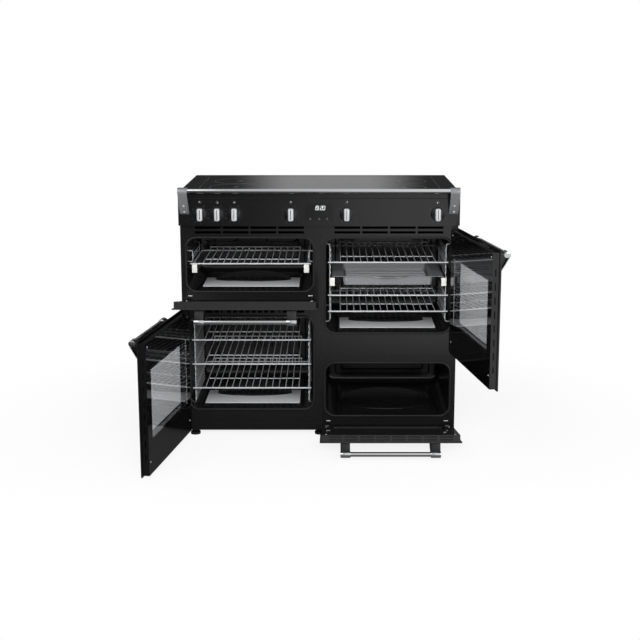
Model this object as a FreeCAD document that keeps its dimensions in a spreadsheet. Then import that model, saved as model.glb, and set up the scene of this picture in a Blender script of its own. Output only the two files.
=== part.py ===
"""Range cooker with four ovens and an induction hob, as a parametric document of separate pieces.

Frame: millimetres, +X to the cook's right, +Y to the back, +Z up. The origin is on the floor, under
the middle front foot. Every piece is drawn from the front frame's face (local Y = 0) or from its own
hinge axis, and its Placement carries it to its place. The doors stand open, as at rest.
"""
import FreeCAD
import Part
import math
import os
import re
import Sketcher

V = FreeCAD.Vector
X_AXIS, Y_AXIS, Z_AXIS = V(1, 0, 0), V(0, 1, 0), V(0, 0, 1)

SIZES = [
    # whole cooker
    ("overall_width", 1000, "outside width of fascia and hob"),
    ("hob_height", 915, "floor to hob surface"),
    ("case_depth", 567, "front frame face to outside of the rear panel"),
    ("front_y", -42, "front frame face in the part's frame"),
    ("floor_gap", 27, "floor to underside of the case"),
    ("case_inset", 1, "case side inside the fascia's end"),
    ("fit_gap", 0.3, "seat clearance between separate pieces"),
    # sheet metal
    ("sheet_wall", 1.0, "side, rear and base sheet"),
    ("sheet_return", 18, "folded return of the side panels"),
    ("frame_wall", 2, "front frame sheet"),
    ("base_lip", 22, "upstand of the base tray"),
    ("rear_slot_count", 9, "cooling slots in the rear panel"),
    ("rear_slot_pitch", 60, "spacing of the rear slots"),
    ("rear_slot_length", 90, "height of a rear slot"),
    ("rear_slot_width", 8, "width of a rear slot"),
    ("rear_box_width", 190, "pressed wiring cover on the rear panel"),
    ("rear_box_height", 120, "height of the wiring cover"),
    ("rear_box_depth", 14, "depth of the wiring cover"),
    ("rear_slot_drop", 130, "middle of the rear slots below the hob"),
    ("rear_box_side", 160, "middle of the wiring cover from the cooker's right"),
    ("rear_box_drop", 290, "middle of the wiring cover below the hob"),
    ("cut_over", 1, "how far a cut runs past the face that it opens"),
    # fascia and hob
    ("fascia_proud", 33, "fascia face in front of the frame face"),
    ("fascia_wall", 3, "fascia panel thickness"),
    ("hob_skirt", 19, "height of the hob surround"),
    ("hob_wall", 4, "hob surround sheet"),
    ("glass_width", 878, "hob glass"),
    ("glass_depth", 500, "hob glass"),
    ("glass_thick", 6, "hob glass"),
    ("glass_front", 14, "front margin of the glass behind the surround's edge"),
    ("glass_radius", 12, "corner radius of the hob glass"),
    ("glass_proud", 0.8, "hob glass above its surround"),
    ("glass_lap", 8, "how far the glass lies on its rebate"),
    ("cover_radius", 30, "corner of the fan cover"),
    ("display_width", 96, "clock window"),
    ("display_height", 58, "clock window"),
    ("display_proud", 1, "clock window in front of the fascia"),
    ("display_lap", 6, "clock window over the edge of its opening"),
    ("display_body", 11, "clock body behind the fascia's face"),
    ("trim_inset", 4, "bright lip inside the fascia's ends"),
    ("trim_setback", 2, "bright lip behind the fascia's face"),
    # knobs
    ("knob_disc_radius", 25, "knob skirt"),
    ("knob_disc_thick", 9, "knob skirt"),
    ("knob_grip_length", 46, "knob bar"),
    ("knob_grip_width", 17, "knob bar"),
    ("knob_grip_depth", 17, "knob bar"),
    ("knob_grip_slope", 2.5, "how much each side of the bar draws in"),
    ("spindle_radius", 4, "knob spindle"),
    ("spindle_length", 14, "spindle behind the fascia face"),
    ("spindle_root", 1, "spindle sunk in its skirt"),
    ("spindle_gap", 1, "fascia hole round a spindle"),
    # handrail
    ("rail_radius", 9.3, "front handrail"),
    ("rail_length", 987, "front handrail"),
    ("rail_reach", 50, "handrail axis in front of the fascia"),
    ("rail_cap_radius", 11.5, "end cap"),
    ("rail_cap_length", 34, "end cap"),
    ("rail_nose_radius", 14, "outside of the bracket's curl"),
    ("rail_strap", 4, "bracket strap"),
    ("rail_fall", 87, "bracket foot below the rail's axis"),
    ("rail_post", 12, "post from fascia to end cap"),
    ("post_inset", 3, "every post inside its cap's ends"),
    # doors
    ("column_gap", 6, "gap between the left and right doors"),
    ("door_thick", 28, "every door"),
    ("door_stand", 5, "door's inner face in front of the frame"),
    ("skin_thick", 5, "outer door plate"),
    ("panel_wall", 5, "inner panel's sheet over its hollow"),
    ("panel_margin", 26, "solid border round the inner panel's hollow"),
    ("panel_rib", 16, "solid border between hollow and window"),
    ("panel_inset", 6, "inner panel inside the outer plate's edge"),
    ("field_margin", 42, "pressed field inside a drop-down door's edge"),
    ("field_radius", 24, "corners of the pressed field"),
    ("field_depth", 3, "pressed field"),
    ("tall_door_height", 463, "side-hung doors"),
    ("lower_door_base", 23, "lower edge of both lower doors"),
    ("hinge_out", 16, "every hinge axis in front of the frame"),
    ("hinge_side", 11, "side hinge axis inside the door's edge"),
    ("hinge_low", 13, "drop-down hinge axis above the door's edge"),
    ("side_open", 99.8, "side doors at rest, degrees"),
    ("drop_open", 78.5, "drop-down doors at rest, degrees"),
    ("window_width", 386, "door window"),
    ("window_height", 230, "door window"),
    ("window_base", 128, "window's lower edge above the door's"),
    ("pane_thick", 4, "each glass pane"),
    ("pane_rebate", 6, "how far a pane laps its opening"),
    ("edge_slot_pitch", 46, "vent slots in the side doors' free edge"),
    ("edge_slot_length", 24, "vent slots in the side doors' free edge"),
    ("edge_slot_width", 4, "vent slots in the side doors' free edge"),
    ("edge_slot_count", 8, "vent slots in the side doors' free edge"),
    ("edge_slot_start", 70, "middle of the lowest edge slot above the door's edge"),
    ("edge_slot_depth", 8, "vent slots in the side doors' free edge"),
    ("top_slot_length", 46, "vent slots in the slow oven door's top edge"),
    ("top_slot_pitch", 55, "vent slots in the slow oven door's top edge"),
    ("top_slot_count", 8, "vent slots in the slow oven door's top edge"),
    ("top_slot_width", 6, "vent slots in the slow oven door's top edge"),
    ("top_slot_gap", 4, "bar between the two rows"),
    # door hinges
    ("lug_width", 14, "hinge lug across its pin"),
    ("side_lug_thick", 6, "side hinge lug along its pin"),
    ("drop_lug_thick", 16, "drop-down hinge lug along its pin"),
    ("hinge_pin_radius", 3, "hinge pin"),
    ("pin_running_gap", 0.05, "hinge pin in its lug"),
    ("lug_gap", 1.2, "door notch around a lug"),
    ("lug_flat", 2, "half a flat between the lug's cut corners"),
    ("pin_seat", 2, "how far a pin is held in the door at each end"),
    ("drop_hinge_offset", 223, "drop-down hinges from the door's middle"),
    ("side_hinge_top", 11.5, "upper side hinge below the door's top"),
    ("side_hinge_base", 37, "lower side hinge above the door's edge"),
    # door handles
    ("handle_radius", 8.3, "handle bar"),
    ("handle_length", 350, "over the end caps"),
    ("handle_drop", 26, "bar axis below the door's top edge"),
    ("handle_reach", 42, "bar axis in front of the door"),
    ("cap_width", 35, "end caps and straps"),
    ("cap_radius", 11, "end cap"),
    ("nose_radius", 12.2, "outside of the strap's curl"),
    ("strap_thick", 3, "strap"),
    ("strap_fall", 82, "strap foot below the bar axis"),
    ("post_height", 12, "post from door to end cap"),
    # ovens
    ("cavity_wall", 1.0, "oven liner sheet"),
    ("cavity_radius", 33, "oven mouth corners"),
    ("liner_collar", 4.6, "flange behind the front frame"),
    ("seal_width", 7, "door seal"),
    ("seal_proud", 3.8, "door seal in front of the frame"),
    ("seal_margin", 1, "seal outside the mouth"),
    ("grill_depth", 380, "inside depth"),
    ("tall_depth", 440, "inside depth"),
    ("main_depth", 440, "inside depth"),
    ("slow_depth", 440, "inside depth"),
    ("hump_height", 4, "pressed floor and back panels"),
    ("hump_margin", 62, "pressing inside the wall"),
    ("hump_radius", 24, "corners of the back pressing"),
    ("vent_slot_length", 92, "frame vents above the upper ovens"),
    ("vent_slot_pitch", 99.5, "frame vents above the upper ovens"),
    ("vent_slot_height", 8.5, "frame vents above the upper ovens"),
    ("vent_slot_count", 4, "frame vents above the upper ovens"),
    ("vent_row_pitch", 17, "between the vent rows"),
    # wire racks and shelves
    ("rack_wire", 2.2, "side rack wire radius"),
    ("rack_stand", 16, "guide wire axis from the liner's wall"),
    ("rack_front", 37, "side rack behind the frame face"),
    ("rack_length", 300, "deep side racks"),
    ("grill_rack_length", 240, "grill oven's side racks"),
    ("rack_headroom", 4, "upper guide above a shelf's rail"),
    ("rack_margin", 14, "upright past its outer guides"),
    ("rack_weld", 0.4, "how far crossing wires sink into each other"),
    ("shelf_width", 423, "wire shelf over its side rails"),
    ("shelf_rail", 2.8, "shelf rail radius"),
    ("shelf_wire", 1.8, "shelf wire radius"),
    ("shelf_wire_count", 15, "wires across a shelf"),
    ("shelf_wire_span", 346, "outer wires of a shelf"),
    ("shelf_front_width", 438, "shelf front rail"),
    ("shelf_front", 30, "shelf front rail behind the frame face"),
    ("shelf_weld", 0.5, "how far a shelf's wires sink into its rails"),
    ("deep_shelf_depth", 374, "main and tall oven shelves"),
    ("grill_shelf_depth", 290, "grill oven shelf"),
    ("shelf_stop", 14, "raised rear stop of a shelf"),
    # roasting pan on runners
    ("channel_height", 22, "fixed member of a runner"),
    ("channel_width", 6, "fixed member of a runner"),
    ("channel_wall", 1.2, "fixed member of a runner"),
    ("slide_width", 11, "sliding member of a runner"),
    ("slide_height", 30, "sliding member of a runner"),
    ("slide_tongue", 3, "how far the slide reaches into its channel"),
    ("slide_front", 26, "front block behind the frame face"),
    ("slide_block_width", 18, "front block"),
    ("slide_block_depth", 10, "front block"),
    ("slide_short", 10, "slide shorter than its channel"),
    ("tongue_inset", 3, "tongue behind the slide's front"),
    ("tongue_short", 20, "tongue shorter than its channel"),
    ("tongue_root", 1, "tongue sunk in the slide"),
    ("pan_width", 330, "roasting pan over its walls"),
    ("pan_depth", 300, "roasting pan"),
    ("pan_height", 32, "roasting pan"),
    ("pan_wall", 1.6, "roasting pan"),
    ("pan_draft", 9, "slope of the pan's walls, degrees"),
    ("pan_radius", 14, "corner radius of the pan"),
    ("pan_front", 52, "pan behind the frame face"),
    ("pan_grip_width", 160, "crescent grip on the pan's front"),
    ("pan_grip_reach", 22, "crescent grip on the pan's front"),
    ("pan_grip_lap", 3, "grip plate under the pan's rim"),
    ("pan_rim", 6, "rim in front of and behind the pan"),
    ("pan_rim_gap", 2, "rim inside its runners"),
    ("pan_rack_gap", 4, "rack inside the pan's floor"),
    ("pan_rack_wires", 9, "wires of the rack in the pan"),
    # hidden hob and oven gear
    ("coil_thick", 10, "induction coils"),
    ("coil_margin", 8, "coil inside its cooking zone"),
    ("element_radius", 3.5, "grill element"),
    ("element_drop", 24, "grill element below the roof"),
    ("element_span", 330, "grill element across"),
    ("element_front", 57, "grill element behind the frame face"),
    ("element_depth", 230, "grill element front to back"),
    ("element_loops", 4, "grill element runs"),
    ("fan_radius", 66, "oven fan"),
    ("fan_thick", 16, "oven fan"),
    ("fan_blades", 8, "oven fan"),
    ("fan_sheet", 1.6, "fan vane and disc"),
    ("fan_vane_length", 26.4, "fan vane"),
    ("fan_vane_start", 37, "fan vane from the axis"),
    ("fan_hub_radius", 6, "fan hub"),
    ("fan_hub_front", 8, "fan hub in front of the disc's back"),
    ("fan_hub_back", 5, "fan hub behind the disc"),
    ("cover_width", 250, "fan cover"),
    ("cover_height", 220, "fan cover"),
    ("cover_depth", 30, "fan cover in front of the oven's back"),
    ("cover_rim", 10, "fan cover's rim round its hollow"),
    ("cover_slots", 9, "fan cover slots"),
    ("cover_slot_pitch", 14, "fan cover slots"),
    ("cover_slot_width", 5, "fan cover slots"),
    ("cover_slot_height", 90, "fan cover slots"),
    # feet
    ("foot_radius", 18.5, "levelling foot"),
    ("foot_pad", 9, "levelling foot pad"),
    ("foot_stem", 7, "levelling foot stem radius"),
    ("foot_inset_side", 34, "foot centre from the case's side"),
    ("foot_inset_rear", 50, "foot centre from the case's back"),
    # levels: everything above the lower doors hangs from the hob's height
    ("fascia_drop", 22, "fascia's upper edge below the hob"),
    ("fascia_height", 96, "fascia"),
    ("knob_level", 41, "knobs above the fascia's lower edge"),
    ("display_level", 49, "clock window above the fascia's lower edge"),
    ("rail_level", 12, "handrail's axis above the hob"),
    ("door_drop", 14, "doors' upper edge below the fascia"),
    ("door_row_gap", 10, "between an upper and a lower door"),
    ("mouth_inset", 21, "oven mouth inside its door's side edges"),
    ("mouth_drop", 38, "upper mouths below the doors' upper edge"),
    ("grill_sill", 59, "grill mouth above its door's lower edge"),
    ("tall_sill", 80, "tall mouth above its door's lower edge"),
    ("main_sill", 89, "main mouth above its door's lower edge"),
    ("main_head", 31, "main mouth below its door's upper edge"),
    ("slow_sill", 63, "slow mouth above its door's lower edge"),
    ("slow_head", 29, "slow mouth below its door's upper edge"),
    ("vent_drop", 12, "upper vent row below the fascia"),
    ("vent_rise", 22, "vent row above the main mouth"),
    ("main_shelf_rise", 69, "lowest shelf above the main oven's floor"),
    ("main_shelf_pitch", 91.5, "shelf to shelf in the main oven"),
    ("tall_shelf_rise", 72, "lowest shelf above the tall oven's floor"),
    ("tall_shelf_pitch", 60, "lowest to middle shelf in the tall oven"),
    ("tall_shelf_gap", 122, "middle to high shelf, with the pan between them"),
    ("pan_runner_rise", 50, "pan runners above the middle shelf"),
    ("grill_runner_drop", 19, "grill runners below the middle of the grill mouth"),
    ("grill_guide_rise", 40, "spare shelf guides above the grill runners"),
]

DERIVED = {
    "fascia_top": "hob_height - fascia_drop",
    "fascia_bottom": "fascia_top - fascia_height",
    "trim_bottom": "hob_height - hob_skirt",
    "knob_z": "fascia_bottom + knob_level",
    "display_z": "fascia_bottom + display_level",
    "rail_z": "hob_height + rail_level",
    "door_top": "fascia_bottom - door_drop",
    "door_width": "(overall_width - 2 * column_gap) / 2",
    "cavity_width": "door_width - 2 * mouth_inset",
    "main_door_base": "lower_door_base",
    "grill_door_base": "lower_door_base + tall_door_height + door_row_gap",
    "low_door_height": "door_top - grill_door_base",
    "tall_door_base": "door_top - tall_door_height",
    "grill_base": "grill_door_base + grill_sill",
    "grill_top": "door_top - mouth_drop",
    "tall_base": "tall_door_base + tall_sill",
    "tall_top": "door_top - mouth_drop",
    "main_base": "main_door_base + main_sill",
    "main_top": "main_door_base + tall_door_height - main_head",
    "slow_base": "lower_door_base + slow_sill",
    "slow_top": "lower_door_base + low_door_height - slow_head",
    "vent_row_top": "fascia_bottom - vent_drop",
    "main_vent_z": "main_top + vent_rise",
    "main_shelf_low": "main_base + main_shelf_rise",
    "main_shelf_mid": "main_shelf_low + main_shelf_pitch",
    "main_shelf_high": "main_shelf_mid + main_shelf_pitch",
    "tall_shelf_low": "tall_base + tall_shelf_rise",
    "tall_shelf_mid": "tall_shelf_low + tall_shelf_pitch",
    "tall_shelf_high": "tall_shelf_mid + tall_shelf_gap",
    "runner_z": "tall_shelf_mid + pan_runner_rise",
    "grill_runner_z": "(grill_base + grill_top) / 2 - grill_runner_drop",
    "grill_shelf_z": "grill_runner_z + slide_height / 2 + shelf_rail + fit_gap",
    "grill_guide_z": "grill_runner_z + grill_guide_rise",
}

ALIASES = {row[0] for row in SIZES}
KNOB_X = {"knob_zone_rear_left": -422, "knob_zone_front_left": -361, "knob_zone_middle": -300,
          "knob_grill": -100, "knob_main": 98, "knob_tall": 421}
COILS = {"left_rear": (-306, 375, 98), "left_front": (-306, 172, 98), "middle": (2, 272, 100),
         "right_rear": (307, 372, 100), "right_front": (311, 157, 80)}
LEFT, RIGHT = -1, 1

doc = FreeCAD.newDocument("range_cooker")
sheet = doc.addObject("Spreadsheet::Sheet", "Sizes")
nodes = []


def fill_sheet():
    """Writes each driving dimension as a plain number with its alias and a note."""
    for row, (alias, number, note) in enumerate(SIZES, start=1):
        sheet.set("A%d" % row, alias)
        sheet.set("B%d" % row, str(number))
        sheet.setAlias("B%d" % row, alias)
        sheet.set("C%d" % row, note)
    doc.recompute()


def ex(text):
    """An expression: a derived level is written out, and every alias is read from the sheet."""
    def swap(match):
        word = match.group(0)
        if word in DERIVED:
            return "(%s)" % ex(DERIVED[word])
        return "Sizes." + word if word in ALIASES else word
    return re.sub(r"[a-z][a-z_]*[a-z]", swap, str(text))


def num(text):
    """The present value of an expression."""
    return float(sheet.evalExpression(ex(text)))


def bind(item, prop, text):
    """Ties one property of an object to an expression."""
    item.setExpression(prop, ex(text))


def label(item, name, base=("0", "front_y", "0"), turn=None):
    """Names a finished piece and binds its Placement: a base and, for a door, a turn about an axis."""
    item.Label = name
    if turn:
        axis, angle = turn
        item.Placement = FreeCAD.Placement(V(0, 0, 0), FreeCAD.Rotation(axis, num(angle)))
        bind(item, "Placement.Rotation.Angle", angle)
    for letter, text in zip("xyz", base):
        bind(item, "Placement.Base." + letter, text)
    nodes.append(item)
    return item


# ------------------------------------------------------------------ sketches and features

PLANES = {"XY": "XY_Plane", "XZ": "XZ_Plane", "YZ": "YZ_Plane"}
CORNER_CHORDS = 4  # straight steps in a rounded corner


def new_body(name):
    return doc.addObject("PartDesign::Body", name)


def new_sketch(body, name, plane, offset="0"):
    """A sketch on one of the body's origin planes, moved along the plane's normal by an expression."""
    sketch = body.newObject("Sketcher::SketchObject", name)
    role = PLANES[plane]
    origin_plane = [f for f in body.Origin.OriginFeatures if f.Role == role][0]
    sketch.AttachmentSupport = [(origin_plane, "")]
    sketch.MapMode = "FlatFace"
    bind(sketch, "AttachmentOffset.Base.z", offset)
    return sketch


def fix(sketch, kind, *where, text):
    """Adds one dimensional constraint with its value tied to an expression."""
    number = sketch.addConstraint(Sketcher.Constraint(kind, *where, num(text)))
    sketch.setExpression("Constraints[%d]" % number, ex(text))


def rounded_rect(sketch, centre, size, radius):
    """A rectangle: centre and size are pairs of expressions; a radius of 0 leaves its corners sharp."""
    half = ["(%s) / 2" % text for text in size]
    points = []
    for i, (x, y) in enumerate(((-1, -1), (1, -1), (1, 1), (-1, 1))):
        corner = ["(%s) + %d * %s" % (c, sign, h) for c, sign, h in zip(centre, (x, y), half)]
        if radius == "0":
            points.append(corner)
            continue
        for k in range(CORNER_CHORDS + 1):
            turn = 180 + 90 * (i + k / CORNER_CHORDS)
            points.append(("%s - (%s) * (%d - cos(%s))" % (corner[0], radius, x, turn),
                           "%s - (%s) * (%d - sin(%s))" % (corner[1], radius, y, turn)))
    polygon(sketch, points)


def polygon(sketch, points):
    """A closed outline of straight lines; every corner's x and y are expressions."""
    first = sketch.GeometryCount
    at = [V(num(x), num(y), 0) for x, y in points]
    for i, p in enumerate(at):
        sketch.addGeometry(Part.LineSegment(p, at[(i + 1) % len(at)]))
    for i in range(len(at)):
        sketch.addConstraint(Sketcher.Constraint("Coincident", first + i, 2,
                                                 first + (i + 1) % len(at), 1))
    for i, (x, y) in enumerate(points):
        fix(sketch, "DistanceX", first + i, 1, text=x)
        fix(sketch, "DistanceY", first + i, 1, text=y)


def cut_corner_rect(sketch, centre, size, radius):
    """A rectangle whose corners are cut off at 45 degrees, as far along each side as the radius."""
    points = []
    for x, y, first in ((-1, -1, 1), (1, -1, 0), (1, 1, 1), (-1, 1, 0)):
        near = [("(%s) + %d * ((%s) / 2 - %s)" % (centre[0], x, size[0], cut_x),
                 "(%s) + %d * ((%s) / 2 - %s)" % (centre[1], y, size[1], cut_y))
                for cut_x, cut_y in (("0", "(%s) * 0.6" % radius), ("(%s) * 0.6" % radius, "0"))]
        points += near if first else near[::-1]
    polygon(sketch, points)


def ring(sketch, centre, radius, sides):
    """A regular polygon round a centre, its corners at the radius."""
    turns = [360.0 * (i + 0.5) / sides for i in range(sides)]
    polygon(sketch, [("(%s) + (%s) * cos(%s)" % (centre[0], radius, a),
                      "(%s) + (%s) * sin(%s)" % (centre[1], radius, a)) for a in turns])


def circle(sketch, centre, radius):
    """A circle at a pair of expressions."""
    at = sketch.addGeometry(Part.Circle(V(num(centre[0]), num(centre[1]), 0), Z_AXIS, num(radius)))
    fix(sketch, "Radius", at, text=radius)
    fix(sketch, "DistanceX", at, 3, text=centre[0])
    fix(sketch, "DistanceY", at, 3, text=centre[1])


def extrude(body, kind, name, sketch, length, reverse=False):
    """A Pad or Pocket of one sketch."""
    feature = body.newObject("PartDesign::" + kind, name)
    feature.Profile = sketch
    feature.Reversed = reverse
    bind(feature, "Length", length)
    sketch.Visibility = False
    return feature


def pad(body, name, sketch, length, reverse=False):
    return extrude(body, "Pad", name, sketch, length, reverse)


def pocket(body, name, sketch, length, reverse=False):
    return extrude(body, "Pocket", name, sketch, length, reverse)


def row_of(body, name, feature, axis, pitch, count):
    """Repeats one feature along an axis of its sketch; pitch and count are expressions."""
    pattern = body.newObject("PartDesign::LinearPattern", name)
    pattern.Originals = [feature]
    pattern.Direction = (feature.Profile[0], [axis])
    pattern.Mode = "Spacing"
    bind(pattern, "Offset", pitch)
    bind(pattern, "Occurrences", count)
    body.Tip = pattern
    return pattern


# ------------------------------------------------------------------ solids and booleans

def box(name, low, size):
    """A Part::Box with its low corner and size as expressions."""
    item = doc.addObject("Part::Box", name)
    for prop, text in zip(("Length", "Width", "Height"), size):
        bind(item, prop, text)
    for letter, text in zip("xyz", low):
        bind(item, "Placement.Base." + letter, text)
    return item


TURNS = {"x": FreeCAD.Rotation(Y_AXIS, 90), "y": FreeCAD.Rotation(X_AXIS, -90), "z": FreeCAD.Rotation()}


def along(item, base, axis):
    """Lays a primitive's height along an axis and binds its base."""
    item.Placement = FreeCAD.Placement(V(0, 0, 0), TURNS[axis])
    for letter, text in zip("xyz", base):
        bind(item, "Placement.Base." + letter, text)
    return item


def rod(name, base, radius, length, axis="z"):
    """A Part::Cylinder from base along an axis."""
    item = doc.addObject("Part::Cylinder", name)
    bind(item, "Radius", radius)
    bind(item, "Height", length)
    return along(item, base, axis)


def wire(name, base, radius, length, axis, sides=6):
    """A straight wire of few flats from base along an axis, with its radius and length bound."""
    item = doc.addObject("Part::Prism", name)
    item.Polygon = sides
    bind(item, "Circumradius", radius)
    bind(item, "Height", length)
    return along(item, base, axis)


def fuse(name, items):
    """Several solids made one."""
    item = doc.addObject("Part::MultiFuse", name)
    item.Shapes = items
    item.Refine = True
    return item


def group(name, items):
    """Several equal pieces kept as one node of separate solids."""
    item = doc.addObject("Part::Compound", name)
    item.Links = items
    return item


# ------------------------------------------------------------------ case

def side_panel(name, side):
    """A folded sheet: a flat side with a return along its front and rear edges."""
    outer = "%d * (overall_width / 2 - case_inset)" % side
    wall, fold = "%d * sheet_wall" % side, "%d * sheet_return" % side
    front, back = "frame_wall + fit_gap", "case_depth - sheet_wall - fit_gap"
    body = new_body("Body_" + name)
    plan = new_sketch(body, "Plan_" + name, "XY", "floor_gap")
    polygon(plan, [(outer, front), (outer, back), (outer + " - " + fold, back),
                   (outer + " - " + fold, back + " - sheet_wall"),
                   (outer + " - " + wall, back + " - sheet_wall"),
                   (outer + " - " + wall, front + " + sheet_wall"),
                   (outer + " - " + fold, front + " + sheet_wall"), (outer + " - " + fold, front)])
    pad(body, "Height_" + name, plan, "hob_height - hob_skirt - fit_gap - floor_gap")
    return body


def side_panels():
    """The left and right sides of the case."""
    return label(group("Sides", [side_panel("left", LEFT), side_panel("right", RIGHT)]), "side_panels")


def rear_panel():
    """The back sheet, with a row of cooling slots and the pressed cover over the wiring."""
    body = new_body("Body_rear_panel")
    height = "hob_height - hob_skirt - fit_gap - floor_gap"
    face = new_sketch(body, "Back_face", "XZ", "-case_depth")
    rounded_rect(face, ("0", "floor_gap + (%s) / 2" % height),
                 ("overall_width - 2 * case_inset", height), "0")
    pad(body, "Back_sheet", face, "sheet_wall")
    slot = new_sketch(body, "Back_slot", "XZ", "-case_depth")
    rounded_rect(slot, ("-(rear_slot_count - 1) * rear_slot_pitch / 2", "hob_height - rear_slot_drop"),
                 ("rear_slot_width", "rear_slot_length"), "0")
    first = pocket(body, "Back_slot_cut", slot, "sheet_wall * 3", reverse=True)
    first.Midplane = True
    row_of(body, "Back_slots", first, "H_Axis", "rear_slot_pitch", "rear_slot_count")
    cover = new_sketch(body, "Wiring_cover", "XZ", "-case_depth")
    rounded_rect(cover, ("overall_width / 2 - rear_box_side", "hob_height - rear_box_drop"),
                 ("rear_box_width", "rear_box_height"), "0")
    pad(body, "Wiring_cover_press", cover, "rear_box_depth - sheet_wall", reverse=True)
    return label(body, "rear_panel")


def base_tray():
    """The bottom pan: a floor with an upstand all round, seated between the side panels."""
    body = new_body("Body_base_tray")
    inset = "(case_inset + sheet_wall + fit_gap)"
    width = "overall_width - 2 * %s" % inset
    front = "frame_wall + sheet_wall + 2 * fit_gap"
    back = "(case_depth - 3 * sheet_wall - 2 * fit_gap)"
    middle, depth = "(%s + %s) / 2" % (front, back), "%s - (%s)" % (back, front)
    plan = new_sketch(body, "Tray_plan", "XY", "floor_gap")
    rounded_rect(plan, ("0", middle), (width, depth), "0")
    pad(body, "Tray_block", plan, "base_lip")
    well = new_sketch(body, "Tray_well", "XY", "floor_gap + sheet_wall")
    rounded_rect(well, ("0", middle), (width + " - 2 * sheet_wall", depth + " - 2 * sheet_wall"), "0")
    pocket(body, "Tray_hollow", well, "base_lip", reverse=True)
    return label(body, "base_tray")


OVENS = {  # name: (column side, mouth base, mouth top, inside depth)
    "grill": (LEFT, "grill_base", "grill_top", "grill_depth"),
    "main": (LEFT, "main_base", "main_top", "main_depth"),
    "tall": (RIGHT, "tall_base", "tall_top", "tall_depth"),
    "slow": (RIGHT, "slow_base", "slow_top", "slow_depth"),
}


def column(side):
    """The middle of the left or right doors and ovens."""
    return "%d * (column_gap + door_width) / 2" % side


def mouth(oven, grow="0"):
    """Centre and size of an oven mouth on the frame face, grown all round by an expression."""
    side, low, high, _ = OVENS[oven]
    centre = (column(side), "(%s + %s) / 2" % (low, high))
    return centre, ("cavity_width + 2 * (%s)" % grow, "%s - %s + 2 * (%s)" % (high, low, grow))


def front_frame():
    """The steel face that carries the ovens: four mouths, the vent rows and a seam between columns."""
    body = new_body("Body_front_frame")
    face = new_sketch(body, "Frame_face", "XZ", "-frame_wall")
    top = "hob_height - hob_skirt - fit_gap"
    rounded_rect(face, ("0", "(floor_gap + %s) / 2" % top),
                 ("overall_width - 2 * case_inset", "%s - floor_gap" % top), "0")
    pad(body, "Frame_sheet", face, "frame_wall")
    for oven in OVENS:
        hole = new_sketch(body, "Mouth_" + oven, "XZ", "-frame_wall")
        centre, size = mouth(oven)
        rounded_rect(hole, centre, size, "cavity_radius")
        pocket(body, "Mouth_cut_" + oven, hole, "frame_wall * 2", reverse=True)
    rows = [(side, "vent_row_top - %d * vent_row_pitch" % i) for side in (LEFT, RIGHT) for i in (0, 1)]
    rows.append((LEFT, "main_vent_z"))
    for i, (side, height) in enumerate(rows):
        slot = new_sketch(body, "Vent_%d" % i, "XZ", "-frame_wall")
        start = "%s - (vent_slot_count - 1) * vent_slot_pitch / 2" % column(side)
        rounded_rect(slot, (start, height), ("vent_slot_length", "vent_slot_height"), "0")
        first = pocket(body, "Vent_cut_%d" % i, slot, "frame_wall * 2", reverse=True)
        row_of(body, "Vent_row_%d" % i, first, "H_Axis", "vent_slot_pitch", "vent_slot_count")
    return label(body, "front_frame")


def oven_liner(oven):
    """One oven's pressed liner: rounded walls, a closed back, a collar, a floor and a back pressing."""
    side, low, high, depth = OVENS[oven]
    body = new_body("Body_liner_" + oven)
    start = "frame_wall + fit_gap"
    centre, size = mouth(oven, "cavity_wall")
    outside = new_sketch(body, "Liner_outside_" + oven, "XZ", "-(%s)" % start)
    rounded_rect(outside, centre, size, "cavity_radius + cavity_wall")
    pad(body, "Liner_block_" + oven, outside, "%s + cavity_wall" % depth, reverse=True)
    centre, size = mouth(oven, "liner_collar")
    collar = new_sketch(body, "Liner_collar_" + oven, "XZ", "-(%s)" % start)
    rounded_rect(collar, centre, size, "0")
    pad(body, "Liner_flange_" + oven, collar, "cavity_wall", reverse=True)
    centre, size = mouth(oven)
    inside = new_sketch(body, "Liner_inside_" + oven, "XZ", "-(%s)" % start)
    rounded_rect(inside, centre, size, "cavity_radius")
    pocket(body, "Liner_hollow_" + oven, inside, depth, reverse=False)
    floor = new_sketch(body, "Liner_floor_" + oven, "XY", low)
    middle = "%s + %s / 2" % (start, depth)
    rounded_rect(floor, (column(side), middle),
                 ("cavity_width - 2 * hump_margin", "%s - 2 * hump_margin" % depth), "0")
    pad(body, "Liner_floor_press_" + oven, floor, "hump_height")
    back = new_sketch(body, "Liner_back_" + oven, "XZ", "-(%s + %s)" % (start, depth))
    centre, size = mouth(oven, "-hump_margin / 2")
    rounded_rect(back, centre, size, "hump_radius")
    pad(body, "Liner_back_press_" + oven, back, "hump_height")
    return label(body, "liner_" + oven)


def door_seals():
    """One soft bead round each mouth, seated on the frame face."""
    rings = []
    for oven in OVENS:
        body = new_body("Body_seal_" + oven)
        outline = new_sketch(body, "Seal_" + oven, "XZ", "0")
        centre, size = mouth(oven, "seal_margin + seal_width")
        rounded_rect(outline, centre, size, "cavity_radius + seal_margin + seal_width")
        centre, size = mouth(oven, "seal_margin")
        rounded_rect(outline, centre, size, "cavity_radius + seal_margin")
        pad(body, "Seal_bead_" + oven, outline, "seal_proud")
        rings.append(body)
    return label(group("Seals", rings), "door_seals")


# ------------------------------------------------------------------ hob and fascia

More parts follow.
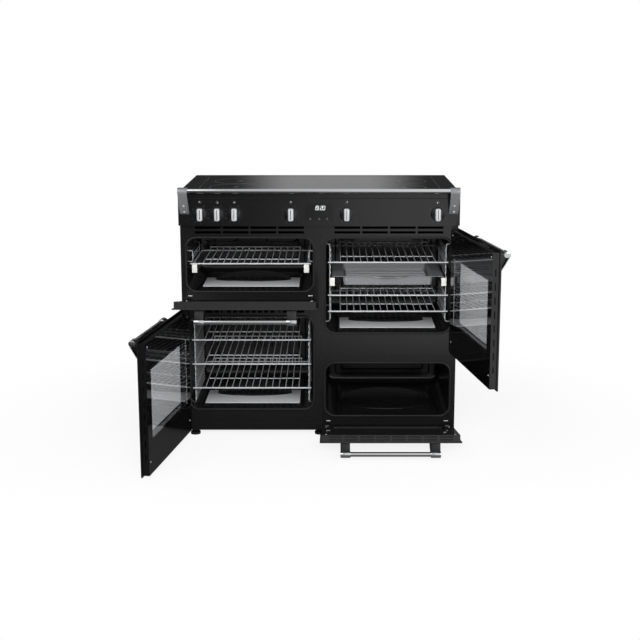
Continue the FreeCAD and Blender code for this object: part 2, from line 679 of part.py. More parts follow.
def hob_surround():
    """The enamelled top: a sheet with a skirt, an opening for the glass and a raised rear edge."""
    body = new_body("Body_hob_surround")
    depth = "fascia_proud + case_depth"
    middle = "(case_depth - fascia_proud) / 2"
    plan = new_sketch(body, "Hob_plan", "XY", "hob_height - hob_skirt")
    rounded_rect(plan, ("0", middle), ("overall_width", depth), "0")
    pad(body, "Hob_block", plan, "hob_skirt")
    under = new_sketch(body, "Hob_under", "XY", "hob_height - hob_skirt")
    rounded_rect(under, ("0", middle), ("overall_width - 2 * hob_wall", depth + " - 2 * hob_wall"), "0")
    pocket(body, "Hob_hollow", under, "hob_skirt - hob_wall", reverse=True)
    hole = new_sketch(body, "Hob_hole", "XY", "hob_height")
    glass_middle = "glass_front + glass_depth / 2 - fascia_proud"
    rounded_rect(hole, ("0", glass_middle),
                 ("glass_width + 2 * fit_gap", "glass_depth + 2 * fit_gap"), "glass_radius")
    pocket(body, "Hob_rebate", hole, "hob_wall / 2")
    through = new_sketch(body, "Hob_through", "XY", "hob_height")
    rounded_rect(through, ("0", glass_middle),
                 ("glass_width - 2 * glass_lap", "glass_depth - 2 * glass_lap"), "0")
    pocket(body, "Hob_opening", through, "hob_wall * 2")
    return label(body, "hob_surround")


def hob_glass():
    """The glass top: a plate that lies in the surround's rebate, with a step under its edge."""
    body = new_body("Body_hob_glass")
    middle = "glass_front + glass_depth / 2 - fascia_proud"
    plan = new_sketch(body, "Glass_plan", "XY", "hob_height - hob_wall / 2")
    rounded_rect(plan, ("0", middle), ("glass_width", "glass_depth"), "glass_radius - fit_gap")
    pad(body, "Glass_plate", plan, "hob_wall / 2 + glass_proud")
    step = new_sketch(body, "Glass_step", "XY", "hob_height - hob_wall / 2")
    lap = "2 * (glass_lap + fit_gap)"
    rounded_rect(step, ("0", middle), ("glass_width - " + lap, "glass_depth - " + lap), "0")
    pad(body, "Glass_under", step, "glass_thick - hob_wall / 2 - glass_proud", reverse=True)
    return label(body, "hob_glass")


def fascia():
    """The control panel: a channel with a hole for each knob's spindle and one for the clock."""
    body = new_body("Body_fascia")
    section = new_sketch(body, "Fascia_section", "YZ", "-overall_width / 2")
    face, back = "-fascia_proud", "-fit_gap"
    low, high = "fascia_bottom", "fascia_top"
    polygon(section, [(face, low), (back, low), (back, low + " + fascia_wall"),
                      (face + " + fascia_wall", low + " + fascia_wall"),
                      (face + " + fascia_wall", high + " - fascia_wall"),
                      (back, high + " - fascia_wall"), (back, high), (face, high)])
    pad(body, "Fascia_channel", section, "overall_width")
    holes = new_sketch(body, "Fascia_holes", "XZ", "fascia_proud")
    for x in KNOB_X.values():
        ring(holes, (str(x), "knob_z"), "spindle_radius + spindle_gap", 8)
    rounded_rect(holes, ("0", "display_z"),
                 ("display_width - 2 * display_lap", "display_height - 2 * display_lap"), "0")
    pocket(body, "Fascia_cuts", holes, "fascia_wall * 2")
    return label(body, "fascia")


def hob_trim():
    """The bright lip between fascia and hob, closed at its ends."""
    body = new_body("Body_hob_trim")
    face = new_sketch(body, "Trim_face", "XZ", "0")
    rounded_rect(face, ("0", "(fascia_top + trim_bottom) / 2"),
                 ("overall_width - 2 * trim_inset", "trim_bottom - fascia_top - 2 * fit_gap"), "0")
    pad(body, "Trim_strip", face, "fascia_proud - trim_setback")
    return label(body, "hob_trim")


def display():
    """The clock's window, seated in the fascia's opening."""
    body = new_body("Body_display")
    plate = new_sketch(body, "Display_plate", "XZ", "fascia_proud")
    rounded_rect(plate, ("0", "display_z"), ("display_width", "display_height"), "0")
    pad(body, "Display_glass", plate, "display_proud")
    plug = new_sketch(body, "Display_plug", "XZ", "fascia_proud")
    lap = "2 * (display_lap + fit_gap)"
    rounded_rect(plug, ("0", "display_z"), ("display_width - " + lap, "display_height - " + lap), "0")
    pad(body, "Display_body", plug, "display_body", reverse=True)
    return label(body, "display_window")


def knob(name, x):
    """A many-sided skirt with a drawn-in bar grip across it and a spindle through the fascia."""
    back = "-(fascia_proud + fit_gap)"
    front = "%s - knob_disc_thick" % back
    disc = wire("Skirt_" + name, ("0", front, "0"), "knob_disc_radius", "knob_disc_thick", "y", 20)
    shaft = rod("Spindle_" + name, ("0", "%s - spindle_root" % back, "0"), "spindle_radius",
                "spindle_length + spindle_root", "y")
    body = new_body("Body_grip_" + name)
    bar = new_sketch(body, "Grip_section_" + name, "XY", "-knob_grip_length / 2")
    half, slope = "knob_grip_width / 2", "knob_grip_slope"
    tip = "%s - knob_grip_depth" % front
    polygon(bar, [("-%s" % half, front), (half, front), ("%s - %s" % (half, slope), tip),
                  ("-%s + %s" % (half, slope), tip)])
    pad(body, "Grip_" + name, bar, "knob_grip_length")
    return label(fuse("Knob_" + name, [disc, shaft, body]), name, base=(str(x), "front_y", "knob_z"))


def handrail():
    """The round rail with a cap at each end."""
    inset = "rail_cap_length + fit_gap"
    rail = rod("Rail_bar", ("-rail_length / 2 + " + inset, "-fascia_proud - rail_reach", "rail_z"),
               "rail_radius", "rail_length - 2 * (%s)" % inset, "x")
    return label(group("Rail", [rail]), "handrail")


CAP_SIDES = 14


def fin(axis_y, axis_z, face_y, fall, cap, nose, wall, width, post, inset):
    """One end of a bar handle, from x = 0 to width: a cap on the bar's axis, a strap and a post.

    All arguments are numbers. The strap curls over the cap's front at the nose's radius, then falls
    to a foot on the face, so that the side view is a fin. The post runs from the cap to the face,
    inset from the cap's ends.
    """
    curl = V(0, axis_y - (nose - cap) * 0.5, axis_z - (nose - cap))
    foot = V(0, face_y, axis_z - fall)

    def around(radius, degrees):
        a = math.radians(degrees)
        return curl + V(0, -radius * math.cos(a), radius * math.sin(a))

    turns = (125, 90, 55, 20, -15, -42)
    outer = [around(nose, a) for a in turns]
    inner = [around(nose - wall, a) for a in turns]
    out_bow = (outer[-1] + foot) * 0.5 + V(0, -fall * 0.03, -fall * 0.02)
    foot_up = foot + V(0, 0, wall * 3)
    in_bow = (inner[-1] + foot_up) * 0.5 + V(0, -fall * 0.02, -fall * 0.01)
    outline = outer + [out_bow, foot, foot_up, in_bow] + inner[::-1]
    strap = Part.Face(Part.makePolygon(outline + outline[:1])).extrude(V(width, 0, 0))
    turns = [math.radians(360.0 * (k + 0.5) / CAP_SIDES) for k in range(CAP_SIDES)]
    rim = [V(0, axis_y + cap * math.cos(a), axis_z + cap * math.sin(a)) for a in turns]
    barrel = Part.Face(Part.makePolygon(rim + rim[:1])).extrude(V(width, 0, 0))
    arm = Part.makeBox(width - 2 * inset, face_y - axis_y, post, V(inset, axis_y, axis_z - post / 2))
    return strap.fuse([barrel, arm]).removeSplitter()


def fin_pair(middle, length, width, piece):
    """Two copies of a fin, at both ends of a bar of the given length."""
    pair = []
    for x in (middle - length / 2, middle + length / 2 - width):
        end = piece.copy()
        end.translate(V(x, 0, 0))
        pair.append(end)
    return Part.makeCompound(pair)


def plain(name, shape, base=("0", "front_y", "0"), turn=None):
    """A Part::Feature for a shape that no primitive or sketch gives, with its Placement bound."""
    item = doc.addObject("Part::Feature", "Shape_" + name)
    item.Shape = shape
    return label(item, name, base, turn)


def handrail_brackets():
    """A curved strap at each end of the rail, down to the fascia."""
    piece = fin(-num("fascia_proud + rail_reach"), num("rail_z"), -num("fascia_proud + fit_gap"),
                num("rail_fall"), num("rail_cap_radius"), num("rail_nose_radius"), num("rail_strap"),
                num("rail_cap_length"), num("rail_post"), num("post_inset"))
    return plain("handrail_brackets", fin_pair(0, num("rail_length"), num("rail_cap_length"), piece))


# ------------------------------------------------------------------ doors

class Door:
    """One door: its hinge axis is the local origin, and its pieces share one Placement."""

    def __init__(self, oven, side_hung, height, base, window):
        self.name, self.side_hung, self.height, self.window = oven, side_hung, height, window
        self.side = OVENS[oven][0]
        if side_hung:  # local x runs from the hinge axis to the free edge
            self.middle = "%d * (door_width / 2 - hinge_side)" % -self.side
            self.low = "0"
            hinge_x = "%d * (column_gap / 2 + door_width - hinge_side)" % self.side
            self.base = (hinge_x, "front_y - hinge_out", base)
            self.turn = (Z_AXIS, "%d * side_open" % self.side)
        else:
            self.middle = "0"
            self.low = "-hinge_low"
            self.base = (column(self.side), "front_y - hinge_out", "%s + hinge_low" % base)
            self.turn = (X_AXIS, "drop_open")
        self.centre = (self.middle, "%s + %s / 2" % (self.low, height))
        self.inner = "hinge_out - door_stand"        # inner face behind the axis
        self.skin_back = "(door_thick - (%s) - skin_thick)" % self.inner   # skin's back in front of it
        self.outer = "(door_thick - (%s))" % self.inner                    # outer face in front of it

    def place(self, item, part):
        return label(item, "%s_door_%s" % (self.name, part), self.base, self.turn)

    def skin(self):
        """The outer plate, with the window opening and its rebate."""
        n = self.name
        body = new_body("Body_skin_" + n)
        face = new_sketch(body, "Skin_face_" + n, "XZ", self.skin_back)
        rounded_rect(face, self.centre, ("door_width", self.height), "0")
        pad(body, "Skin_plate_" + n, face, "skin_thick")
        if self.window:
            hole = new_sketch(body, "Skin_window_" + n, "XZ", self.skin_back)
            rounded_rect(hole, self.window_centre(), ("window_width", "window_height"), "0")
            pocket(body, "Skin_opening_" + n, hole, "skin_thick", reverse=True)
        return self.place(body, "skin")

    def window_centre(self):
        return self.middle, "%s + window_base + window_height / 2" % self.low

    def lug_places(self):
        """The lugs' middles along the hinge axis, in local coordinates."""
        if self.side_hung:
            return ["side_hinge_base", "%s - side_hinge_top" % self.height]
        return ["-drop_hinge_offset", "drop_hinge_offset"]

    def panel(self):
        """The inner panel: a box with the window, the vents and a notch and pin at each hinge."""
        n = self.name
        body = new_body("Body_panel_" + n)
        face = new_sketch(body, "Panel_face_" + n, "XZ", self.skin_back)
        rounded_rect(face, self.centre, ("door_width - 2 * panel_inset",
                                         "%s - 2 * panel_inset" % self.height), "0")
        pad(body, "Panel_block_" + n, face, "door_thick - skin_thick", reverse=True)
        field = new_sketch(body, "Panel_field_" + n, "XZ", "-(%s)" % self.inner)
        if self.window:
            rounded_rect(field, self.window_centre(),
                         ("window_width + 2 * pane_rebate", "window_height + 2 * pane_rebate"),
                         "0")
            pocket(body, "Panel_rebate_" + n, field, "pane_thick + fit_gap", reverse=True)
            hole = new_sketch(body, "Panel_window_" + n, "XZ", self.skin_back)
            rounded_rect(hole, self.window_centre(), ("window_width", "window_height"), "0")
            pocket(body, "Panel_opening_" + n, hole, "door_thick * 2", reverse=False)
            shelf = new_sketch(body, "Panel_outer_rebate_" + n, "XZ", self.skin_back)
            rounded_rect(shelf, self.window_centre(),
                         ("window_width + 2 * pane_rebate", "window_height + 2 * pane_rebate"),
                         "0")
            pocket(body, "Panel_outer_shelf_" + n, shelf, "pane_thick + fit_gap", reverse=False)
        else:
            rounded_rect(field, self.centre, ("door_width - 2 * field_margin",
                                              "%s - 2 * field_margin" % self.height), "field_radius")
            pocket(body, "Panel_press_" + n, field, "field_depth", reverse=True)
        hollow = new_sketch(body, "Panel_hollow_" + n, "XZ", self.skin_back)
        wide = "door_width - 2 * panel_margin"
        spans = [("panel_margin", "%s - panel_margin" % self.height)]
        if self.window:
            spans = [("panel_margin", "window_base - panel_rib"),
                     ("window_base + window_height + panel_rib", "%s - panel_margin" % self.height)]
        for low, high in spans:
            rounded_rect(hollow, (self.middle, "%s + ((%s) + (%s)) / 2" % (self.low, low, high)),
                         (wide, "(%s) - (%s)" % (high, low)), "0")
        pocket(body, "Panel_hollow_cut_" + n, hollow, "door_thick - skin_thick - panel_wall",
               reverse=False)
        self.vents(body)
        self.notches(body)
        return self.place(body, "panel")

    def vents(self, body):
        """Cooling slots: down the free edge of a side door, along the slow oven's top edge."""
        n = self.name
        if self.side_hung:
            sketch = new_sketch(body, "Edge_vent_" + n, "YZ",
                                "%d * (door_width - hinge_side - panel_inset)" % -self.side)
            rounded_rect(sketch, ("0", "edge_slot_start"), ("edge_slot_width", "edge_slot_length"), "0")
            first = pocket(body, "Edge_vent_cut_" + n, sketch, "edge_slot_depth",
                           reverse=self.side == RIGHT)
            row_of(body, "Edge_vents_" + n, first, "V_Axis", "edge_slot_pitch", "edge_slot_count")
        elif n == "slow":
            sketch = new_sketch(body, "Top_vent_" + n, "XY",
                                "%s + %s - panel_inset" % (self.low, self.height))
            start = "-(top_slot_count - 1) * top_slot_pitch / 2"
            middle = "((%s) - (%s)) / 2" % (self.inner, self.skin_back)
            for i, sign in enumerate((-1, 1)):
                rounded_rect(sketch, (start, "%s + %d * (top_slot_width + top_slot_gap) / 2"
                                      % (middle, sign)),
                             ("top_slot_length", "top_slot_width"), "0")
            first = pocket(body, "Top_vent_cut_" + n, sketch, "edge_slot_depth")
            row_of(body, "Top_vents_" + n, first, "H_Axis", "top_slot_pitch", "top_slot_count")

    def notches(self, body):
        """Cuts the panel round each hinge lug and leaves the pin standing across the notch."""
        n = self.name
        reach = "(lug_width / 2 + lug_gap)"
        across = "((%s) + cut_over - (%s)) / 2" % (self.inner, self.skin_back)
        through = "(%s) + cut_over + (%s)" % (self.inner, self.skin_back)
        for i, place in enumerate(self.lug_places()):
            if self.side_hung:
                plane, axis = "XY", "side_lug_thick"
                edge = "%d * (hinge_side + cut_over)" % self.side
                inside = "%d * %s" % (-self.side, reach)
                centre = ("(%s + %s) / 2" % (edge, inside), across)
                size = ("hinge_side + cut_over + %s" % reach, through)
            else:
                plane, axis = "YZ", "drop_lug_thick"
                centre = (across, "(%s - hinge_low - cut_over) / 2" % reach)
                size = (through, "%s + hinge_low + cut_over" % reach)
            cutter = new_sketch(body, "Notch_%s_%d" % (n, i), plane, place)
            rounded_rect(cutter, centre, size, "0")
            slot = pocket(body, "Notch_cut_%s_%d" % (n, i), cutter, "%s + 2 * lug_gap" % axis)
            slot.Midplane = True
            pin = new_sketch(body, "Pin_%s_%d" % (n, i), plane, place)
            circle(pin, ("0", "0"), "hinge_pin_radius")
            bar = pad(body, "Pin_bar_%s_%d" % (n, i), pin, "%s + 2 * (lug_gap + pin_seat)" % axis)
            bar.Midplane = True

    def glass(self):
        """The two panes, one behind the skin and one in the inner face."""
        n = self.name
        panes = []
        for part, offset in (("outer", "%s - pane_thick" % self.skin_back),
                             ("inner", "-(%s)" % self.inner)):
            body = new_body("Body_pane_%s_%s" % (part, n))
            face = new_sketch(body, "Pane_%s_%s" % (part, n), "XZ", offset)
            grow = "2 * (pane_rebate - fit_gap)"
            rounded_rect(face, self.window_centre(), ("window_width + " + grow,
                                                      "window_height + " + grow), "0")
            pad(body, "Pane_glass_%s_%s" % (part, n), face, "pane_thick")
            panes.append(body)
        return self.place(group("Panes_" + n, panes), "window")

    def handle(self):
        """The grip bar between its two straps."""
        inset = "cap_width + fit_gap"
        start = "%s - handle_length / 2 + %s" % (self.middle, inset)
        bar = rod("Handle_" + self.name,
                  (start, "-(%s) - handle_reach" % self.outer,
                   "%s + %s - handle_drop" % (self.low, self.height)),
                  "handle_radius", "handle_length - 2 * (%s)" % inset, "x")
        return self.place(group("Handle_bar_" + self.name, [bar]), "handle")

    def straps(self):
        """A fin at each end: a cap beside the bar, a strap down to the door and a short post."""
        piece = fin(-num(self.outer + " + handle_reach"),
                    num("%s + %s - handle_drop" % (self.low, self.height)),
                    -num(self.outer + " + fit_gap"), num("strap_fall"), num("cap_radius"),
                    num("nose_radius"), num("strap_thick"), num("cap_width"), num("post_height"),
                    num("post_inset"))
        pair = fin_pair(num(self.middle), num("handle_length"), num("cap_width"), piece)
        return plain("%s_door_straps" % self.name, pair, self.base, self.turn)

    def build(self):
        self.skin()
        self.panel()
        if self.window:
            self.glass()
        self.handle()
        self.straps()


DOORS = [Door("grill", False, "low_door_height", "grill_door_base", False),
         Door("main", True, "tall_door_height", "main_door_base", True),
         Door("tall", True, "tall_door_height", "tall_door_base", True),
         Door("slow", False, "low_door_height", "lower_door_base", False)]


# ------------------------------------------------------------------ wire racks, shelves and pan

GUIDE_X = "(cavity_width / 2 - rack_stand)"
GUIDE_UNDER = "(shelf_rail + rack_wire + fit_gap)"
RACKS = {"grill": (["grill_guide_z"], ["grill_runner_z"], "grill_rack_length"),
         "main": (["main_shelf_low", "main_shelf_mid", "main_shelf_high"], [], "rack_length"),
         "tall": (["tall_shelf_low", "tall_shelf_mid", "tall_shelf_high"], ["runner_z"], "rack_length")}


def side_rack(oven, side):
    """One ladder of wires: two uprights, a pair of guides for each shelf, and pegs to the wall."""
    shelves, runners, length = RACKS[oven]
    tag = "%s_%s" % (oven, "left" if side == LEFT else "right")
    middle = column(OVENS[oven][0])
    guide = "%s + %d * %s" % (middle, side, GUIDE_X)
    upright = "%s + %d * (2 * rack_wire - rack_weld)" % (guide, side)
    heights = shelves + runners
    low = "%s - %s - rack_margin" % (min(heights, key=num), GUIDE_UNDER)
    high = "%s + shelf_rail + rack_headroom + rack_margin" % max(heights, key=num)
    wires = []
    for i, z in enumerate(shelves):
        for part, offset in (("under", "- " + GUIDE_UNDER), ("over", "+ shelf_rail + rack_headroom")):
            wires.append(wire("Guide_%s_%s_%d" % (part, tag, i),
                              (guide, "rack_front", "%s %s" % (z, offset)), "rack_wire", length, "y", 4))
    for end, y in (("front", "rack_front + rack_wire"), ("rear", "rack_front + %s - rack_wire" % length)):
        wires.append(wire("Upright_%s_%s" % (end, tag), (upright, y, low), "rack_wire",
                          "%s - (%s)" % (high, low), "z", 4))
        for where, z in (("low", low + " + rack_wire * 2"), ("high", high + " - rack_wire * 2")):
            start = upright if side == RIGHT else "%s - cavity_width / 2 + fit_gap" % middle
            span = "rack_stand - fit_gap - 2 * rack_wire + rack_weld"
            wires.append(wire("Peg_%s_%s_%s" % (where, end, tag), (start, y, z), "rack_wire", span, "x", 4))
    return fuse("Rack_" + tag, wires)


def side_racks():
    ladders = [side_rack(oven, side) for oven in RACKS for side in (LEFT, RIGHT)]
    return label(group("Racks", ladders), "side_racks")


def shelf(name, side, z, depth):
    """A chrome shelf: rails all round, wires butted between front and rear, a stiffener and a stop."""
    half, flat = "(shelf_width / 2 - shelf_rail)", "(shelf_rail * cos(30) - shelf_weld)"
    front, rear = "shelf_front", "shelf_front + %s" % depth
    tall, thick = "(shelf_wire * 1.5)", "(shelf_wire * 1.6)"
    pieces = [wire("Front_" + name, ("-shelf_front_width / 2", front, "0"), "shelf_rail",
                   "shelf_front_width", "x"),
              wire("Rear_" + name, ("-shelf_width / 2 + shelf_rail", rear, "0"),
                   "shelf_rail", "shelf_width - 2 * shelf_rail", "x"),
              wire("Stop_" + name, ("-shelf_wire_span / 2", rear, "shelf_stop"), "shelf_wire",
                   "shelf_wire_span", "x", 4)]
    for i, end in enumerate((-1, 1)):
        pieces.append(wire("Side_%s_%d" % (name, i), ("%d * %s" % (end, half), front, "0"),
                           "shelf_rail", depth, "y"))
        pieces.append(wire("Stop_post_%s_%d" % (name, i),
                           ("%d * (shelf_wire_span / 2 - shelf_wire)" % end, rear, "0"),
                           "shelf_wire", "shelf_stop", "z", 4))
    pitch = "shelf_wire_span / (shelf_wire_count - 1)"
    for i in range(int(num("shelf_wire_count"))):
        pieces.append(box("Wire_%s_%d" % (name, i),
                          ("-shelf_wire_span / 2 + %d * %s - %s / 2" % (i, pitch, thick),
                           "%s + %s" % (front, flat), "-%s / 2" % tall),
                          (thick, "%s - 2 * %s" % (depth, flat), tall)))
    grid = fuse("Shelf_" + name, pieces)
    under = box("Stiffener_" + name, ("-shelf_wire_span / 2", "%s + 0.36 * %s" % (front, depth),
                                      "-%s * 3 / 2" % tall), ("shelf_wire_span", thick, tall))
    return label(group("Shelf_with_stiffener_" + name, [grid, under]), "shelf_" + name,
                 base=(column(side), "front_y", z))


SHELVES = [("grill", LEFT, "grill_shelf_z", "grill_shelf_depth"),
           ("main_high", LEFT, "main_shelf_high", "deep_shelf_depth"),
           ("main_mid", LEFT, "main_shelf_mid", "deep_shelf_depth"),
           ("main_low", LEFT, "main_shelf_low", "deep_shelf_depth"),
           ("tall_high", RIGHT, "tall_shelf_high", "deep_shelf_depth"),
           ("tall_mid", RIGHT, "tall_shelf_mid", "deep_shelf_depth"),
           ("tall_low", RIGHT, "tall_shelf_low", "deep_shelf_depth")]

CHANNEL_BACK = "(%s - rack_wire + 2 * rack_wire - rack_weld - fit_gap)" % GUIDE_X
RUNNERS = [("grill", LEFT, "grill_runner_z", "grill_rack_length"),
           ("tall", RIGHT, "runner_z", "rack_length")]


def runner_channel(oven, column_side, z, length, side):
    """The fixed member: a C with its mouth towards the oven's middle, seated on the uprights."""
    tag = "%s_%d" % (oven, side)
    body = new_body("Body_channel_" + tag)
    section = new_sketch(body, "Channel_" + tag, "XZ", "-rack_front")
    middle = column(column_side)
    back = "%s + %d * %s" % (middle, side, CHANNEL_BACK)
    front = "%s - %d * channel_width" % (back, side)
    web = "%s - %d * channel_wall" % (back, side)
    half, lip = "channel_height / 2", "channel_height / 2 - channel_wall"
    low, high = "%s - %s" % (z, half), "%s + %s" % (z, half)
    polygon(section, [(back, low), (back, high), (front, high), (front, "%s + %s" % (z, lip)),
                      (web, "%s + %s" % (z, lip)), (web, "%s - (%s)" % (z, lip)),
                      (front, "%s - (%s)" % (z, lip)), (front, low)])
    pad(body, "Channel_run_" + tag, section, length, reverse=True)
    return body


def runner_slide(oven, column_side, z, length, side):
    """The sliding member: a bar with a tongue in its channel and a bright block at its front."""
    tag = "%s_%d" % (oven, side)
    body = new_body("Body_slide_" + tag)
    middle = column(column_side)
    outer = "%s + %d * (%s - channel_width - fit_gap)" % (middle, side, CHANNEL_BACK)
    section = new_sketch(body, "Slide_" + tag, "XZ", "-(slide_front + slide_block_depth)")
    rounded_rect(section, ("%s - %d * slide_width / 2" % (outer, side), z),
                 ("slide_width", "slide_height"), "0")
    pad(body, "Slide_bar_" + tag, section, "%s - slide_short" % length, reverse=True)
    tongue = new_sketch(body, "Tongue_" + tag, "XZ", "-(slide_front + slide_block_depth + tongue_inset)")
    rounded_rect(tongue, ("%s + %d * (slide_tongue / 2 - tongue_root)" % (outer, side), z),
                 ("slide_tongue + 2 * tongue_root", "channel_height - 2 * (channel_wall + fit_gap)"), "0")
    pad(body, "Tongue_bar_" + tag, tongue, "%s - tongue_short" % length, reverse=True)
    block = new_sketch(body, "Block_" + tag, "XZ", "-(slide_front + slide_block_depth)")
    rounded_rect(block, ("%s - %d * (slide_width - slide_block_width / 2)" % (outer, side), z),
                 ("slide_block_width", "slide_height"), "0")
    pad(body, "Block_cap_" + tag, block, "slide_block_depth")
    return body


def runners():
    channels = [runner_channel(*row, side) for row in RUNNERS for side in (LEFT, RIGHT)]
    label(group("Channels", channels), "runner_channels")
    for row in RUNNERS:
        slides = [runner_slide(*row, side) for side in (LEFT, RIGHT)]
        label(group("Slides_" + row[0], slides), "runner_slides_" + row[0])


PAN_TOP = "(runner_z + slide_height / 2 + fit_gap)"


def pan():
    """The enamelled roasting pan: drafted walls, side rims on the runners and a crescent grip."""
    body = new_body("Body_pan")
    middle = "pan_front + pan_depth / 2"
    top = new_sketch(body, "Pan_outside", "XY", PAN_TOP)
    cut_corner_rect(top, (column(RIGHT), middle), ("pan_width", "pan_depth"), "pan_radius")
    block = pad(body, "Pan_block", top, "pan_height", reverse=True)
    bind(block, "TaperAngle", "-pan_draft")
    rim = new_sketch(body, "Pan_rim", "XY", PAN_TOP)
    reach = "2 * (%s - channel_width - fit_gap - pan_rim_gap)" % CHANNEL_BACK
    rounded_rect(rim, (column(RIGHT), middle), (reach, "pan_depth + 2 * pan_rim"), "0")
    pad(body, "Pan_rim_plate", rim, "pan_wall")
    inside = new_sketch(body, "Pan_inside", "XY", PAN_TOP + " + pan_wall")
    cut_corner_rect(inside, (column(RIGHT), middle), ("pan_width - 2 * pan_wall",
                                                      "pan_depth - 2 * pan_wall"), "pan_radius - pan_wall")
    hollow = pocket(body, "Pan_hollow", inside, "pan_height")
    bind(hollow, "TaperAngle", "-pan_draft")
    grip = new_sketch(body, "Pan_grip", "XY", PAN_TOP)
    half, reach, lap = num("pan_grip_width / 2"), num("pan_grip_reach"), num("pan_grip_lap")
    cx, y0 = num(column(RIGHT)), num("pan_front - pan_rim")
    grip.addGeometry(Part.LineSegment(V(cx - half, y0 + lap, 0), V(cx + half, y0 + lap, 0)))
    rise = (half ** 2 - reach ** 2) / (2 * reach)
    big = Part.Circle(V(cx, y0 + rise, 0), Z_AXIS, rise + reach)
    spread = math.atan2(half, rise - lap)
    grip.addGeometry(Part.ArcOfCircle(big, -math.pi / 2 - spread, -math.pi / 2 + spread))
    grip.addConstraint(Sketcher.Constraint("Coincident", 0, 1, 1, 1))
    grip.addConstraint(Sketcher.Constraint("Coincident", 0, 2, 1, 2))
    grip.addConstraint(Sketcher.Constraint("Horizontal", 0))
    fix(grip, "DistanceX", 0, 1, text="%s - pan_grip_width / 2" % column(RIGHT))
    fix(grip, "DistanceX", 0, 2, text="%s + pan_grip_width / 2" % column(RIGHT))
    fix(grip, "DistanceY", 0, 1, text="pan_front - pan_rim + pan_grip_lap")
    fix(grip, "Radius", 1, text="((pan_grip_width / 2) ^ 2 + pan_grip_reach ^ 2) / (2 * pan_grip_reach)")
    pad(body, "Pan_grip_plate", grip, "pan_wall")
    return label(body, "pan")


def pan_rack():
    """The flat wire rack that lies in the pan."""
    inner = "(pan_width / 2 - pan_wall - pan_height * tan(pan_draft) - pan_rack_gap)"
    y0 = "(pan_front + pan_wall + pan_height * tan(pan_draft) + pan_rack_gap)"
    length = "(pan_depth - 2 * (%s - pan_front))" % y0
    z = "%s - pan_height + pan_wall + shelf_rail + fit_gap" % PAN_TOP
    pieces = []
    for i, end in enumerate((-1, 1)):
        x = "%s + %d * (%s - shelf_rail)" % (column(RIGHT), end, inner)
        pieces.append(wire("Pan_rack_side_%d" % i, (x, y0, z), "shelf_rail", length, "y"))
    for i in range(int(num("pan_rack_wires"))):
        share = "%s * %d / (pan_rack_wires - 1)" % ("(%s - 2 * shelf_wire)" % length, i)
        pieces.append(wire("Pan_rack_wire_%d" % i,
                           ("%s - %s + shelf_rail" % (column(RIGHT), inner),
                            "%s + shelf_wire + %s" % (y0, share), z),
                           "shelf_wire", "2 * %s - 2 * shelf_rail" % inner, "x", 4))
    return label(fuse("Pan_rack", pieces), "pan_rack")


# ------------------------------------------------------------------ hidden gear, hinges and feet

def grill_element():
    """A heating rod bent to and fro under the grill oven's roof, its ends in the back wall."""
    loops, radius = int(num("element_loops")), num("element_radius")
    pitch = num("element_span") / (loops - 1)
    left = num(column(LEFT)) - num("element_span") / 2
    z = num("grill_top - element_drop")
    wall = num("frame_wall + grill_depth")
    back, front = num("element_front + element_depth"), num("element_front")
    bend = pitch / 2
    corners = [V(left, wall, z)]
    for i in range(loops - 1):
        x = left + (i + 0.5) * pitch
        turn, y = (-1, front + bend) if i % 2 == 0 else (1, back - bend)
        corners += [V(x - bend * math.cos(a), y + turn * bend * math.sin(a), z)
                    for a in (math.radians(36 * k) for k in range(6))]
    corners.append(V(left + (loops - 1) * pitch, wall, z))
    path = Part.makePolygon(corners)
    points = [V(left + radius * math.cos(a), wall, z + radius * math.sin(a))
              for a in (math.radians(90 * k) for k in range(5))]
    rod_shape = path.makePipeShell([Part.makePolygon(points)], True, False, 1)
    return plain("grill_element", rod_shape)


def fan_place(oven):
    side, low, high, depth = OVENS[oven]
    return column(side), "(%s + %s) / 2" % (low, high), "(frame_wall + fit_gap + %s - hump_height)" % depth


def fan_covers():
    """A dished, slotted plate over each fan, open behind, seated on the oven's back pressing."""
    plates = []
    for oven in ("main", "tall"):
        x, z, wall = fan_place(oven)
        body = new_body("Body_cover_" + oven)
        seat = "-(%s - fit_gap)" % wall
        face = new_sketch(body, "Cover_" + oven, "XZ", seat)
        cut_corner_rect(face, (x, z), ("cover_width", "cover_height"), "cover_radius")
        pad(body, "Cover_block_" + oven, face, "cover_depth")
        well = new_sketch(body, "Cover_well_" + oven, "XZ", seat)
        rim = "2 * (cavity_wall + cover_rim)"
        rounded_rect(well, (x, z), ("cover_width - " + rim, "cover_height - " + rim), "0")
        pocket(body, "Cover_hollow_" + oven, well, "cover_depth - cavity_wall", reverse=True)
        slot = new_sketch(body, "Cover_slot_" + oven, "XZ", "%s + cover_depth" % seat)
        rounded_rect(slot, ("%s - (cover_slots - 1) * cover_slot_pitch / 2" % x, z),
                     ("cover_slot_width", "cover_slot_height"), "0")
        first = pocket(body, "Cover_slot_cut_" + oven, slot, "cavity_wall * 2")
        row_of(body, "Cover_slots_" + oven, first, "H_Axis", "cover_slot_pitch", "cover_slots")
        plates.append(body)
    return label(group("Covers", plates), "fan_covers")


